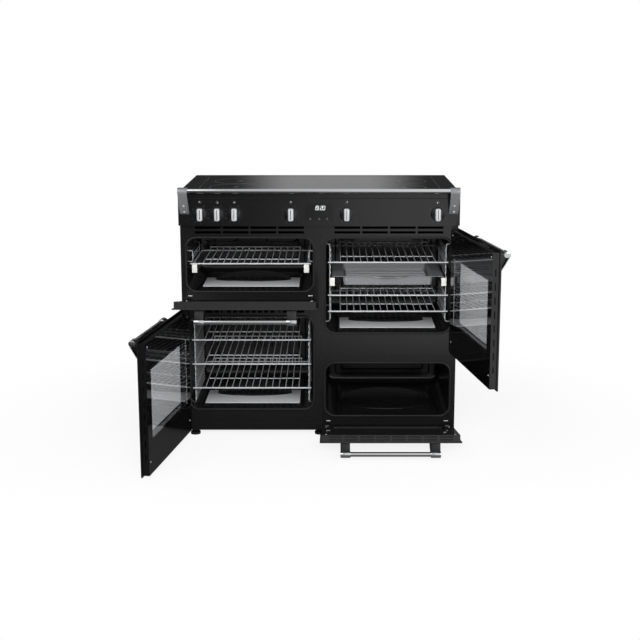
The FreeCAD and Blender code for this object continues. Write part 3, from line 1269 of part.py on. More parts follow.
def fan(oven):
    """A disc with upright vanes on a spindle, turning about its own local Y."""
    vanes = []
    for i in range(int(num("fan_blades"))):
        angle = 360.0 * i / num("fan_blades")
        vane = box("Vane_%s_%d" % (oven, i), ("0", "0", "0"), ("fan_vane_length", "fan_thick", "fan_sheet"))
        vane.Placement = FreeCAD.Placement(V(0, 0, 0), FreeCAD.Rotation(Y_AXIS, angle))
        bind(vane, "Placement.Base.x", "fan_vane_start * cos(%s)" % angle)
        bind(vane, "Placement.Base.y", "-fan_thick - fan_sheet / 2")
        bind(vane, "Placement.Base.z", "-fan_vane_start * sin(%s)" % angle)
        vanes.append(vane)
    disc = wire("Fan_disc_" + oven, ("0", "-fan_sheet", "0"), "fan_radius", "fan_sheet", "y", 16)
    hub = rod("Fan_hub_" + oven, ("0", "-fan_hub_front", "0"), "fan_hub_radius",
              "fan_hub_front + fan_hub_back", "y")
    x, z, wall = fan_place(oven)
    return label(fuse("Fan_" + oven, vanes + [disc, hub]), "fan_" + oven,
                 base=(x, "front_y + %s - fan_hub_back - fit_gap" % wall, z))


def induction_coils():
    """A flat wound disc under each zone, against the glass."""
    top = "hob_height + glass_proud - glass_thick - fit_gap"
    discs = []
    for name, (x, y, radius) in COILS.items():
        discs.append(wire("Coil_" + name, (str(x), "%s - fascia_proud" % y, "%s - coil_thick" % top),
                          "%s - coil_margin" % radius, "coil_thick", "z", 14))
    return label(group("Coils", discs), "induction_coils")


EYE_SIDES = 12


def hinge_lug(name, door, place):
    """A lug on the frame, drawn round the hinge axis with the pin's hole through it."""
    body = new_body("Body_lug_" + name)
    half, root = "lug_width / 2", "hinge_out - fit_gap"
    eye = "(hinge_pin_radius + pin_running_gap) / cos(180 / %d)" % EYE_SIDES
    thick = "side_lug_thick" if door.side_hung else "drop_lug_thick"
    if door.side_hung:
        outline = new_sketch(body, "Lug_" + name, "XY", "%s - %s / 2" % (place, thick))
        polygon(outline, [("-" + half, root), ("-" + half, "-lug_flat"), ("-lug_flat", "-" + half),
                          ("lug_flat", "-" + half), (half, "-lug_flat"), (half, root)])
    else:
        outline = new_sketch(body, "Lug_" + name, "YZ", "%s - %s / 2" % (place, thick))
        polygon(outline, [(root, "-" + half), (root, half), ("-lug_flat", half), ("-" + half, "lug_flat"),
                          ("-" + half, "-lug_flat"), ("-lug_flat", "-" + half)])
    ring(outline, ("0", "0"), eye, EYE_SIDES)
    pad(body, "Lug_plate_" + name, outline, thick)
    for letter, text in zip("xyz", (door.base[0], "-hinge_out", door.base[2])):
        bind(body, "Placement.Base." + letter, text)
    return body


def hinge_brackets():
    """Two lugs for each door, flat against the frame."""
    lugs = [hinge_lug("%s_%d" % (door.name, i), door, place)
            for door in DOORS for i, place in enumerate(door.lug_places())]
    return label(group("Hinge_lugs", lugs), "hinge_brackets")


def levelling_feet():
    """Six screw feet: a round pad and a stem up to the base tray."""
    side = "overall_width / 2 - case_inset - foot_inset_side"
    feet = []
    for i, x in enumerate(("-(%s)" % side, "0", side)):
        for j, y in enumerate(("-front_y", "case_depth - foot_inset_rear")):
            tag = "%d_%d" % (i, j)
            feet.append(fuse("Foot_" + tag, [
                wire("Pad_" + tag, (x, y, "0"), "foot_radius", "foot_pad", "z", 14),
                wire("Stem_" + tag, (x, y, "0"), "foot_stem", "floor_gap - fit_gap", "z")]))
    return label(group("Feet", feet), "levelling_feet")


def build():
    """Makes every piece in the order in which the cooker goes together."""
    fill_sheet()
    levelling_feet()
    base_tray()
    side_panels()
    rear_panel()
    front_frame()
    for oven in OVENS:
        oven_liner(oven)
    door_seals()
    side_racks()
    grill_element()
    fan_covers()
    for oven in ("main", "tall"):
        fan(oven)
    runners()
    for row in SHELVES:
        shelf(*row)
    pan()
    pan_rack()
    hob_surround()
    hob_glass()
    induction_coils()
    hob_trim()
    fascia()
    display()
    for name, x in KNOB_X.items():
        knob(name, x)
    handrail()
    handrail_brackets()
    hinge_brackets()
    for door in DOORS:
        door.build()


def save():
    """Recomputes, refuses any failed object or invalid shape, and writes one file per node."""
    doc.recompute()
    for item in doc.Objects:
        if {"Invalid", "Error"} & set(item.State):
            raise RuntimeError("%s is %s" % (item.Name, item.State))
    os.makedirs("parts", exist_ok=True)
    for item in nodes:
        shape = item.Shape
        if shape.isNull() or not shape.isValid():
            raise RuntimeError("%s has no valid shape" % item.Label)
        shape.exportStep("parts/%s.step" % item.Label)
    print("%d nodes written" % len(nodes))


build()
save()
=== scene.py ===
"""Looks of a free-standing range cooker with four ovens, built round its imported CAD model.

Every new piece is modelled in metres in the CAD frame: +X to the cook's right, +Y to the back, +Z up.
Door pieces are modelled as if the door hung shut at the origin, then carried to the open door.
"""
import logging
import math
from dataclasses import dataclass
from enum import Enum
from typing import Any, Callable, Optional, Sequence

import bpy
from mathutils import Matrix, Vector


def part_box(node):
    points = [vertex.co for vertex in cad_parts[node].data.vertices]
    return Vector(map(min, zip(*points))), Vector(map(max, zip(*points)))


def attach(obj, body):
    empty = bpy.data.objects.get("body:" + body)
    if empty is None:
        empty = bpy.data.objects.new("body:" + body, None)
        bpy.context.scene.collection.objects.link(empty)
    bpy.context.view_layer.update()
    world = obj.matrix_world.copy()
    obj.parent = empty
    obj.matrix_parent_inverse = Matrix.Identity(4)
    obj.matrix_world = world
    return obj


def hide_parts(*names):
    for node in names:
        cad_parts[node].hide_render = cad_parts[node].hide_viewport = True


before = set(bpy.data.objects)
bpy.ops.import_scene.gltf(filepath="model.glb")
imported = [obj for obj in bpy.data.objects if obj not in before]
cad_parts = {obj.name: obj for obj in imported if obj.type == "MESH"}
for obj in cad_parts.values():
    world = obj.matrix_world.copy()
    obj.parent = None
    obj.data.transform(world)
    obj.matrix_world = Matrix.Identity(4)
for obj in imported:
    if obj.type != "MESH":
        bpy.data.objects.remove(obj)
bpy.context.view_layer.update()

log = logging.getLogger("range_cooker")
MM = 0.001
BUILT: dict[str, bpy.types.Material] = {}
FLECK_EDGE = 0.06
LEAST_ROUGHNESS = 0.02
BUMP_STRENGTH = 0.6
Point = Sequence[float]


# ---------------------------------------------------------------- finishes

def linear(code: str, alpha: float = 1.0) -> tuple[float, float, float, float]:
    """Turns an sRGB hex code into the linear colour that a socket takes.

    Args:
        code: six hex digits with a leading hash.
        alpha: the fourth value.

    Returns:
        Red, green, blue and alpha, linear.
    """
    parts = [int(code[i:i + 2], 16) / 255 for i in (1, 3, 5)]
    red, green, blue = (c / 12.92 if c <= 0.04045 else ((c + 0.055) / 1.055) ** 2.4 for c in parts)
    return red, green, blue, alpha


def add_node(tree: bpy.types.NodeTree, kind: str, settings: Optional[dict[str, Any]] = None,
             links: Optional[dict[Any, Any]] = None) -> bpy.types.Node:
    """Adds one node with its settings and its links.

    Args:
        tree: the node tree.
        kind: Blender's name for the node's type.
        settings: socket names or node attributes, with their values.
        links: input socket (name or number) to the output socket that feeds it.

    Returns:
        The new node.
    """
    node = tree.nodes.new(kind)
    for key, value in (settings or {}).items():
        if isinstance(key, str) and hasattr(node, key):
            setattr(node, key, value)
        else:
            node.inputs[key].default_value = value
    for key, source in (links or {}).items():
        tree.links.new(source, node.inputs[key])
    return node


class Grain(Enum):
    """How a surface was made, which sets its pattern."""

    PLAIN = "plain"
    ENAMEL = "fired enamel: long, shallow waves under the gloss"
    SPECKLED = "enamel with fired-in flecks"
    BRUSHED = "metal brushed along X"
    DRAWN = "drawn wire, bright with faint long marks"
    CAST = "moulded or cast, fine even pits"
    WOVEN = "knitted cord"
    WOUND = "wire wound flat in rings"


@dataclass(frozen=True)
class Finish:
    """One real material and the way its surface was made.

    Lengths are in millimetres, colours are sRGB hex codes. The grain repeats every grain_mm and stands
    depth_mm high. The gloss varies with it by spread, and flecks of the second colour cover a share.
    """

    name: str
    colour: str
    roughness: float
    metallic: float = 0.0
    ior: float = 1.5
    grain: Grain = Grain.PLAIN
    grain_mm: float = 4.0
    depth_mm: float = 0.02
    second: str = ""
    share: float = 0.5
    spread: float = 0.06
    transmission: float = 0.0
    glow: float = 0.0

    def build(self) -> bpy.types.Material:
        """Makes the node material once, and hands back the same one afterwards.

        Returns:
            The material.
        """
        if self.name in BUILT:
            return BUILT[self.name]
        material = BUILT[self.name] = bpy.data.materials.new(self.name)
        material.use_nodes = True
        tree = material.node_tree
        tree.nodes.clear()
        shader = add_node(tree, "ShaderNodeBsdfPrincipled", {
            "Base Color": linear(self.colour), "Roughness": self.roughness,
            "Metallic": self.metallic, "IOR": self.ior,
            "Transmission Weight": self.transmission})
        if self.glow:
            shader.inputs["Emission Color"].default_value = linear(self.colour)
            shader.inputs["Emission Strength"].default_value = self.glow
        add_node(tree, "ShaderNodeOutputMaterial", links={"Surface": shader.outputs["BSDF"]})
        self.pattern(tree, shader)
        return material

    def stretch(self) -> tuple[float, float, float]:
        """The grain's repeats per metre, fewer along the way that the metal was worked.

        Returns:
            Repeats along X, Y and Z.
        """
        per_metre = 1.0 / MM / self.grain_mm
        along = {Grain.BRUSHED: (0.02, 1.0), Grain.DRAWN: (0.3, 0.3)}
        x, y = along.get(self.grain, (1.0, 1.0))
        return per_metre * x, per_metre * y, per_metre

    def pattern(self, tree: bpy.types.NodeTree, shader: bpy.types.Node) -> None:
        """Adds the pattern that the making left: in colour, in gloss and in height.

        Args:
            tree: the material's node tree.
            shader: its Principled node.
        """
        place = add_node(tree, "ShaderNodeTexCoord")
        scaled = add_node(tree, "ShaderNodeMapping", {"Scale": self.stretch()},
                          {"Vector": place.outputs["Object"]})
        if self.grain is Grain.WOVEN:
            noise = add_node(tree, "ShaderNodeTexWave", {"Scale": 1.0, "Distortion": 0.6,
                                                         "bands_direction": "DIAGONAL"},
                             {"Vector": scaled.outputs[0]})
        elif self.grain is Grain.WOUND:
            noise = add_node(tree, "ShaderNodeTexVoronoi", {"Scale": 1.0}, {"Vector": scaled.outputs[0]})
        else:
            detail = 1.0 if self.grain in (Grain.ENAMEL, Grain.PLAIN) else 4.0
            noise = add_node(tree, "ShaderNodeTexNoise", {"Scale": 1.0, "Detail": detail},
                             {"Vector": scaled.outputs[0]})
        value = noise.outputs[0]
        if self.second:
            edge = 0.5 + (0.5 - self.share) * 0.5
            ramp = add_node(tree, "ShaderNodeValToRGB", links={"Fac": value})
            ramp.color_ramp.elements[0].position = edge
            ramp.color_ramp.elements[0].color = linear(self.colour)
            ramp.color_ramp.elements[1].position = min(edge + FLECK_EDGE, 1.0)
            ramp.color_ramp.elements[1].color = linear(self.second)
            tree.links.new(ramp.outputs[0], shader.inputs["Base Color"])
        if self.spread and not self.transmission:
            gloss = add_node(tree, "ShaderNodeMapRange", {
                "To Min": max(self.roughness - self.spread, LEAST_ROUGHNESS),
                "To Max": self.roughness + self.spread}, {"Value": value})
            tree.links.new(gloss.outputs[0], shader.inputs["Roughness"])
        if self.depth_mm:
            bump = add_node(tree, "ShaderNodeBump", {
                "Strength": BUMP_STRENGTH, "Distance": self.depth_mm * MM}, {"Height": value})
            tree.links.new(bump.outputs[0], shader.inputs["Normal"])


# Black vitreous enamel: a glassy coat over steel, so dark, sharp reflections with a faint ripple.
BLACK_ENAMEL = Finish("gloss_black_enamel", "#0b0b0c", 0.16, grain=Grain.ENAMEL, grain_mm=9,
                      depth_mm=0.012, spread=0.03)
# Front frame: the same enamel, a little greyer and softer, which holds a broad sheen.
FRAME_ENAMEL = Finish("satin_black_enamel", "#0c0c0d", 0.17, grain=Grain.ENAMEL, grain_mm=9,
                      depth_mm=0.006, spread=0.03)
# Fascia: enamel that levelled out on a flat panel, so a calm gloss with long highlights.
FASCIA_GLASS = Finish("black_fascia_enamel", "#0c0c0d", 0.14, grain=Grain.ENAMEL, grain_mm=30,
                      depth_mm=0.003, spread=0.02)
# Joints: matt black lacquer, which swallows light like a gap. The plates in the door's slots and the sheet
# behind the ovens use it as painted shade for the dark depth behind the slots.
SEAM_AND_SHADE_BLACK = Finish("matt_black_lacquer", "#040404", 0.6, grain=Grain.CAST, grain_mm=1.0, depth_mm=0.005)
# Oven enamel: ground coat with fine grey flecks that sparkle a little.
OVEN_ENAMEL = Finish("flecked_oven_enamel", "#0d0d0e", 0.2, grain=Grain.SPECKLED, grain_mm=1.6,
                     depth_mm=0.01, second="#2a2a2c", share=0.28, spread=0.05)
# Oven floor plate: pale grey flecked enamel colour, a painted reflection that stands in for the bright front
# mirrored in the glossy floor near the door.
PAINTED_FLOOR_REFLECTION = Finish("grey_floor_enamel", "#b4b5b7", 0.25, grain=Grain.SPECKLED, grain_mm=2.0,
                      depth_mm=0.01, second="#cacbcd", share=0.35, spread=0.05)
# Roasting pan: grey speckled enamel, satin, so soft grey planes with fine light flecks.
PAN_ENAMEL = Finish("grey_pan_enamel", "#6c6d6f", 0.34, grain=Grain.SPECKLED, grain_mm=2.2,
                    depth_mm=0.02, second="#949598", share=0.3, spread=0.06)
# Handles and rail: chromium plate over polished steel tube, a mirror with faint drawn marks.
CHROME = Finish("polished_chrome", "#c9cacc", 0.07, metallic=1.0, grain=Grain.DRAWN, grain_mm=3,
                depth_mm=0.001, spread=0.02)
# Shelf wire: satin nickel-chrome plating, whose fine grain scatters light like a pale coat.
WIRE_CHROME = Finish("satin_plated_wire", "#b2b3b5", 0.34, metallic=0.15, grain=Grain.DRAWN, grain_mm=2,
                     depth_mm=0.004, spread=0.04)
# Rail straps: the same plating over a bead-blasted casting, so a soft, even grey.
STRAP_CHROME = Finish("satin_chromed_casting", "#7d7e80", 0.36, metallic=0.45, grain=Grain.CAST, grain_mm=1.2,
                      depth_mm=0.003, spread=0.04)
# Knob grips and rail screws: that plating over a finer casting, lighter and a little sharper.
GRIP_CHROME = Finish("satin_chromed_grip", "#bcbdbf", 0.3, metallic=0.4, grain=Grain.CAST, grain_mm=1.2,
                     depth_mm=0.002, spread=0.03)
# Runners and the pan's rolled edge: brushed stainless steel, its highlights drawn out by the grain.
STAINLESS = Finish("brushed_stainless_steel", "#c4c5c7", 0.28, metallic=1.0, grain=Grain.BRUSHED,
                   grain_mm=0.6, depth_mm=0.004, spread=0.05)
# Runner caps: moulded white nylon, a small matt light patch on each end.
RUNNER_CAP = Finish("white_nylon_runner_cap", "#c4c4c2", 0.35, grain=Grain.CAST, grain_mm=0.8,
                    depth_mm=0.01)
# Lip under the hob: black anodised aluminium, dark with a faint metal sheen.
BLACK_TRIM = Finish("black_anodised_aluminium", "#1a1a1b", 0.3, metallic=0.4, grain=Grain.BRUSHED,
                    grain_mm=0.5, depth_mm=0.003)
# Edges of the hob's glass: satin anodised aluminium, a thin bright line.
BRIGHT_TRIM = Finish("satin_anodised_aluminium", "#b9babd", 0.3, metallic=1.0, grain=Grain.BRUSHED,
                     grain_mm=0.5, depth_mm=0.003)
# Hob: black glass-ceramic, polished and almost flat, so it mirrors what stands round it.
HOB_GLASS = Finish("black_glass_ceramic", "#060607", 0.08, grain=Grain.ENAMEL, grain_mm=60,
                   depth_mm=0.003, spread=0.01)
# Clock window: smoked glass over black, which lets only the lit figures through.
DISPLAY_GLASS = Finish("smoked_display_window", "#050506", 0.06, grain_mm=40, depth_mm=0.0,
                       spread=0.01)
# Oven windows: toughened clear float glass, seen by its reflections alone.
CLEAR_GLASS = Finish("toughened_clear_glass", "#dcddde", 0.0, ior=1.45, depth_mm=0.0, transmission=1.0)
# Glass-fronted inner door: black enamel fired on the back of a clear pane, so a mirror-like gloss.
DOOR_INNER = Finish("black_backed_door_glass", "#080809", 0.06, grain_mm=50, depth_mm=0.004,
                    spread=0.015)
# Oven seals: a tube knitted from graphite-coated yarn, dull black with a fine knit.
SEAL_RUBBER = Finish("knitted_graphite_seal", "#111112", 0.42, grain=Grain.WOVEN, grain_mm=1.4,
                     depth_mm=0.15)
# Rear panel: hot-dip zinc-coated sheet, mid grey with large, faint crystals.
ZINC = Finish("zinc_coated_sheet", "#8c9094", 0.42, metallic=1.0, grain=Grain.SPECKLED, grain_mm=14,
              depth_mm=0.01, second="#9da1a5", share=0.45, spread=0.08)
# Hinge arms and door screws: bright zinc plate, a pale metal that stops short of a mirror.
HINGE_STEEL = Finish("bright_zinc_plate", "#c8cacd", 0.25, metallic=0.6, grain=Grain.BRUSHED,
                     grain_mm=1.2, depth_mm=0.004)
# Grill rod: a steel sheath tinted by heat, brown grey and rough.
ELEMENT = Finish("sheathed_heating_rod", "#3c3936", 0.45, metallic=0.9, grain=Grain.CAST, grain_mm=1.0,
                 depth_mm=0.03)
# Fans: aluminised sheet, a soft dark metal behind the covers.
FAN_STEEL = Finish("aluminised_fan_sheet", "#4a4b4d", 0.38, metallic=1.0, grain=Grain.BRUSHED,
                   grain_mm=1.0, depth_mm=0.006)
# Handle posts and knob pointers: heat-proof moulding, black with a fine matt grain.
BLACK_PLASTIC = Finish("moulded_black_plastic", "#101011", 0.38, grain=Grain.CAST, grain_mm=0.7,
                       depth_mm=0.02)
# Feet: moulded nylon, duller and coarser than the posts.
FOOT_PLASTIC = Finish("moulded_foot_nylon", "#0e0e0f", 0.5, grain=Grain.CAST, grain_mm=0.9,
                      depth_mm=0.03)
# Induction coils: lacquered copper strands wound flat, brown with round ridges.
COIL = Finish("litz_coil_windings", "#8a5530", 0.45, metallic=0.8, grain=Grain.WOUND, grain_mm=3,
              depth_mm=0.3)
# Fired ceramic prints, matt on the gloss round them: white for the spots over the knobs, grey for the
# cooking zones, and dim for the ticks and the touch signs.
WHITE_PRINT = Finish("fired_white_print", "#d9d9d8", 0.5, grain=Grain.CAST, grain_mm=0.5, depth_mm=0.002)
GREY_PRINT = Finish("fired_grey_print", "#77787a", 0.45, grain=Grain.CAST, grain_mm=0.5, depth_mm=0.002)
DIM_PRINT = Finish("fired_dim_print", "#4e4f51", 0.45, grain=Grain.CAST, grain_mm=0.5, depth_mm=0.002)
# Clock figures: lit white segments, the only thing that shines by itself.
DIGITS = Finish("lit_clock_digits", "#e6e9ea", 0.4, depth_mm=0.0, glow=1.0)

NODE_FINISH = {
    "levelling_feet": FOOT_PLASTIC, "base_tray": BLACK_ENAMEL, "side_panels": BLACK_ENAMEL,
    "rear_panel": ZINC, "front_frame": FRAME_ENAMEL, "liner_grill": OVEN_ENAMEL,
    "liner_main": OVEN_ENAMEL, "liner_tall": OVEN_ENAMEL, "liner_slow": OVEN_ENAMEL,
    "door_seals": SEAL_RUBBER, "side_racks": WIRE_CHROME, "grill_element": ELEMENT,
    "fan_covers": OVEN_ENAMEL, "fan_main": FAN_STEEL, "fan_tall": FAN_STEEL,
    "runner_channels": STAINLESS, "runner_slides_grill": STAINLESS, "runner_slides_tall": STAINLESS,
    "pan": PAN_ENAMEL, "pan_rack": WIRE_CHROME, "hob_surround": BLACK_ENAMEL, "hob_glass": HOB_GLASS,
    "induction_coils": COIL, "hob_trim": BLACK_TRIM, "fascia": FASCIA_GLASS,
    "display_window": DISPLAY_GLASS, "handrail": CHROME, "handrail_brackets": CHROME,
    "hinge_brackets": HINGE_STEEL,
}
PART_FINISH = {"skin": BLACK_ENAMEL, "panel": DOOR_INNER, "window": CLEAR_GLASS, "handle": CHROME,
               "straps": CHROME}


def node_finish(name: str) -> Finish:
    """Finds the finish of the real piece behind a CAD node; what is left over is a knob.

    Args:
        name: the node's name.

    Returns:
        The finish.
    """
    if name in NODE_FINISH:
        return NODE_FINISH[name]
    if "_door_" in name:
        return PART_FINISH[name.rsplit("_", 1)[1]]
    return WIRE_CHROME if name.startswith("shelf") else CHROME


def dress_frame() -> None:
    """Gives every CAD node the finish of the real piece."""
    for name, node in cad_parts.items():
        node.data.materials.clear()
        node.data.materials.append(node_finish(name).build())


# ---------------------------------------------------------------- bench: modelling operations

def deselect() -> None:
    """Leaves nothing selected, so that the next operator acts on its own mesh alone."""
    for item in bpy.context.selected_objects:
        item.select_set(False)


def pick(piece: bpy.types.Object) -> None:
    """Makes one object the only one selected, and active.

    Args:
        piece: the object.
    """
    deselect()
    piece.select_set(True)
    bpy.context.view_layer.objects.active = piece


def modify(piece: bpy.types.Object, kind: str, **settings: Any) -> None:
    """Adds a modifier, sets it and applies it.

    Args:
        piece: the object to change.
        kind: Blender's name for the modifier's type.
        **settings: the modifier's own settings.
    """
    pick(piece)
    modifier = piece.modifiers.new(kind.lower(), kind)
    for key, value in settings.items():
        setattr(modifier, key, value)
    bpy.ops.object.modifier_apply(modifier=modifier.name)


def choose(piece: bpy.types.Object, kind: str, test: Callable[[Vector, Vector], bool]) -> None:
    """Opens a piece in edit mode with some of its faces or edges selected.

    Args:
        piece: the object to edit.
        kind: FACE or EDGE.
        test: takes a face's centre and normal, or an edge's two ends, and says whether to select it.
    """
    pick(piece)
    bpy.ops.object.mode_set(mode="EDIT")
    bpy.ops.mesh.select_mode(type=kind)
    bpy.ops.mesh.select_all(action="DESELECT")
    bpy.ops.object.mode_set(mode="OBJECT")
    mesh = piece.data
    if kind == "FACE":
        for face in mesh.polygons:
            face.select = test(face.center, face.normal)
    else:
        for edge in mesh.edges:
            first, last = (mesh.vertices[i].co for i in edge.vertices)
            edge.select = test(first, last)
    bpy.ops.object.mode_set(mode="EDIT")


def close_edit() -> None:
    """Goes back to object mode."""
    bpy.ops.object.mode_set(mode="OBJECT")


def flip(piece: bpy.types.Object) -> None:
    """Turns a piece's faces round.

    Args:
        piece: the object to turn.
    """
    choose(piece, "FACE", lambda centre, normal: True)
    bpy.ops.mesh.flip_normals()
    close_edit()


def remove(piece: bpy.types.Object, test: Callable[[Vector, Vector], bool]) -> None:
    """Deletes some of a piece's faces.

    Args:
        piece: the object to open.
        test: picks the faces.
    """
    choose(piece, "FACE", test)
    bpy.ops.mesh.delete(type="FACE")
    close_edit()


def press(piece: bpy.types.Object, test: Callable[[Vector, Vector], bool], centre: Point,
          steps: Sequence[tuple[Point, Point]], inset: float = 0.0002) -> None:
    """Presses a stepped panel into a flat face: each step insets it, scales it and moves it.

    Args:
        piece: the object to press.
        test: picks the face.
        centre: what the steps scale about.
        steps: a scale and a move for each step.
        inset: the inset's width, which only parts the new face from the old.
    """
    choose(piece, "FACE", test)
    for scale, move in steps:
        bpy.ops.mesh.inset(thickness=inset)
        bpy.ops.transform.resize(value=scale, center_override=centre)
        bpy.ops.transform.translate(value=move)
    close_edit()


def settle(name: str, bevel: float = 0.0, segments: int = 2) -> bpy.types.Object:
    """Names the active new piece, moves its place into its mesh and rounds its edges.

    Args:
        name: the piece's name.
        bevel: the edges' radius in metres, or 0 for none.
        segments: the bevel's steps.

    Returns:
        The piece.
    """
    piece = bpy.context.object
    piece.name = name
    bpy.ops.object.transform_apply(location=True, rotation=True, scale=True)
    if bevel:
        modify(piece, "BEVEL", width=bevel, segments=segments, limit_method="ANGLE")
    return piece


def block(name: str, low: Point, high: Point, bevel: float = 0.0, segments: int = 2) -> bpy.types.Object:
    """A rounded block between two corners.

    Args:
        name: the piece's name.
        low: the lowest corner.
        high: the highest corner.
        bevel: the edges' radius.
        segments: the bevel's steps.

    Returns:
        The piece.
    """
    low, high = Vector(low), Vector(high)
    deselect()
    bpy.ops.mesh.primitive_cube_add(size=1.0, location=(low + high) / 2)
    bpy.context.object.scale = high - low
    return settle(name, bevel, segments)


def bar(name: str, start: Point, end: Point, radius: float, sides: int = 32, bevel: float = 0.0,
        tip: Optional[float] = None) -> bpy.types.Object:
    """A round bar or cone between two points.

    Args:
        name: the piece's name.
        start: the middle of the first end.
        end: the middle of the second end.
        radius: the bar's radius.
        sides: faces round it.
        bevel: radius of the rims.
        tip: the second end's radius, where it differs.

    Returns:
        The piece.
    """
    start, end = Vector(start), Vector(end)
    run = end - start
    deselect()
    bpy.ops.mesh.primitive_cone_add(vertices=sides, radius1=radius, radius2=radius if tip is None else tip,
                                    depth=run.length, location=(start + end) / 2,
                                    rotation=run.to_track_quat("Z", "Y").to_euler())
    return settle(name, bevel)


def hoop(name: str, centre: Point, radius: float, line: float, flat: float, steps: int,
         upright: bool = True) -> bpy.types.Object:
    """A printed ring: a torus pressed flat along its own axis.

    Args:
        name: the piece's name.
        centre: the ring's middle.
        radius: the ring's radius.
        line: half the width of its line.
        flat: how far the line stands out, as a share of that.
        steps: faces round the ring.
        upright: whether it faces the front and not the ceiling.

    Returns:
        The piece.
    """
    deselect()
    bpy.ops.mesh.primitive_torus_add(location=centre, rotation=(math.pi / 2 if upright else 0.0, 0, 0),
                                     major_radius=radius, minor_radius=line, major_segments=steps,
                                     minor_segments=6)
    bpy.context.object.scale = (1, 1, flat)
    return settle(name)


def from_curve(name: str, points: Sequence[Point], closed: bool = False, radius: float = 0.0,
               sides: int = 8, width: float = 0.0) -> bpy.types.Object:
    """A wire or a ribbon along points, drawn as a curve and made a mesh.

    Args:
        name: the piece's name.
        points: the line's points; a ribbon's lie in its own XY plane.
        closed: whether the line is a loop.
        radius: the wire's radius.
        sides: faces round the wire.
        width: a ribbon's width, across its plane.

    Returns:
        The piece.
    """
    curve = bpy.data.curves.new(name, "CURVE")
    curve.dimensions = "2D" if width else "3D"
    curve.fill_mode = "NONE" if width else "FULL"
    spline = curve.splines.new("POLY")
    spline.points.add(len(points) - 1)
    for target, point in zip(spline.points, points):
        x, y, z = (*point, 0.0)[:3]
        target.co = (x, y, z, 1.0)
    spline.use_cyclic_u = closed
    curve.bevel_depth = radius
    curve.bevel_resolution = max(sides // 2 - 2, 0)
    curve.use_fill_caps = not closed
    curve.extrude = width / 2
    piece = bpy.data.objects.new(name, curve)
    bpy.context.scene.collection.objects.link(piece)
    pick(piece)
    bpy.ops.object.convert(target="MESH")
    return bpy.context.object


def join(name: str, pieces: Sequence[bpy.types.Object]) -> bpy.types.Object:
    """Joins pieces of one finish into one object.

    Args:
        name: the joined piece's name.
        pieces: what is joined.

    Returns:
        The joined piece.
    """
    deselect()
    for piece in pieces:
        piece.select_set(True)
    bpy.context.view_layer.objects.active = pieces[0]
    if len(pieces) > 1:
        bpy.ops.object.join()
    joined = bpy.context.object
    joined.name = name
    return joined


def copy_of(piece: bpy.types.Object, name: str, move: Point) -> bpy.types.Object:
    """A copy with its own mesh, some way from the piece.

    Args:
        piece: what is copied.
        name: the copy's name.
        move: how far the copy is shifted along X, Y and Z.

    Returns:
        The copy.
    """
    twin = piece.copy()
    twin.data = piece.data.copy()
    twin.name = name
    bpy.context.scene.collection.objects.link(twin)
    twin.data.transform(Matrix.Translation(move))
    return twin


def arc(centre: Point, radius: float, first: float, last: float, steps: int) -> list[tuple[float, float]]:
    """Points on an arc in a plane.

    Args:
        centre: the arc's centre.
        radius: its radius.
        first: the first angle in degrees.
        last: the last angle in degrees.
        steps: how many chords.

    Returns:
        The points.
    """
    turns = [math.radians(first + (last - first) * i / steps) for i in range(steps + 1)]
    return [(centre[0] + radius * math.cos(a), centre[1] + radius * math.sin(a)) for a in turns]


def rounded(low: Point, high: Point, radius: float, steps: int = 8) -> list[tuple[float, float]]:
    """The outline of a rectangle with round corners, anticlockwise.

    Args:
        low: lowest corner in the plane.
        high: highest corner in the plane.
        radius: the corners' radius.
        steps: chords in a corner.

    Returns:
        The outline's points.
    """
    (x0, y0), (x1, y1), r = low, high, radius
    points: list[tuple[float, float]] = []
    for centre, first in (((x1 - r, y0 + r), -90), ((x1 - r, y1 - r), 0), ((x0 + r, y1 - r), 90),
                          ((x0 + r, y0 + r), 180)):
        points += arc(centre, r, first, first + 90, steps)
    return points


def soften(line: Sequence[Point], radius: float, steps: int = 5) -> list[Vector]:
    """Rounds the corners of a bent wire.

    Args:
        line: the wire's corner points.
        radius: how far from a corner the bend starts.
        steps: chords in a bend.

    Returns:
        The points with each corner rounded.
    """
    points = [Vector(p) for p in line]
    out = [points[0]]
    for before, corner, after in zip(points, points[1:], points[2:]):
        back, ahead = before - corner, after - corner
        reach = min(radius, back.length * 0.5, ahead.length * 0.5)
        start, end = corner + back.normalized() * reach, corner + ahead.normalized() * reach
        for i in range(steps + 1):
            t = i / steps
            out.append(start * (1 - t) ** 2 + corner * 2 * t * (1 - t) + end * t ** 2)
    out.append(points[-1])
    return out


def seat(piece: bpy.types.Object, body: str, finish: Finish,
         replaces: Sequence[str] = (), smooth: float = 35.0) -> bpy.types.Object:
    """Finishes a piece and fixes it to the CAD body that it rides on.

    Args:
        piece: the finished mesh, in its place.
        body: the CAD body.
        finish: the piece's material.
        replaces: CAD nodes that it stands for.
        smooth: edges flatter than this, in degrees, are shaded smooth.

    Returns:
        The piece.
    """
    pick(piece)
    bpy.ops.object.shade_smooth_by_angle(angle=math.radians(smooth))
    piece.data.materials.clear()
    piece.data.materials.append(finish.build())
    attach(piece, body)
    if replaces:
        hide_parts(*replaces)
    log.info("%s on %s, %d faces", piece.name, body, len(piece.data.polygons))
    return piece


# ---------------------------------------------------------------- doors and handles

class Swing(Enum):
    """Which way a door opens."""

    DROP = "drop-down"
    LEFT = "hinged on the left"
    RIGHT = "hinged on the right"


DIAGONAL = 0.7


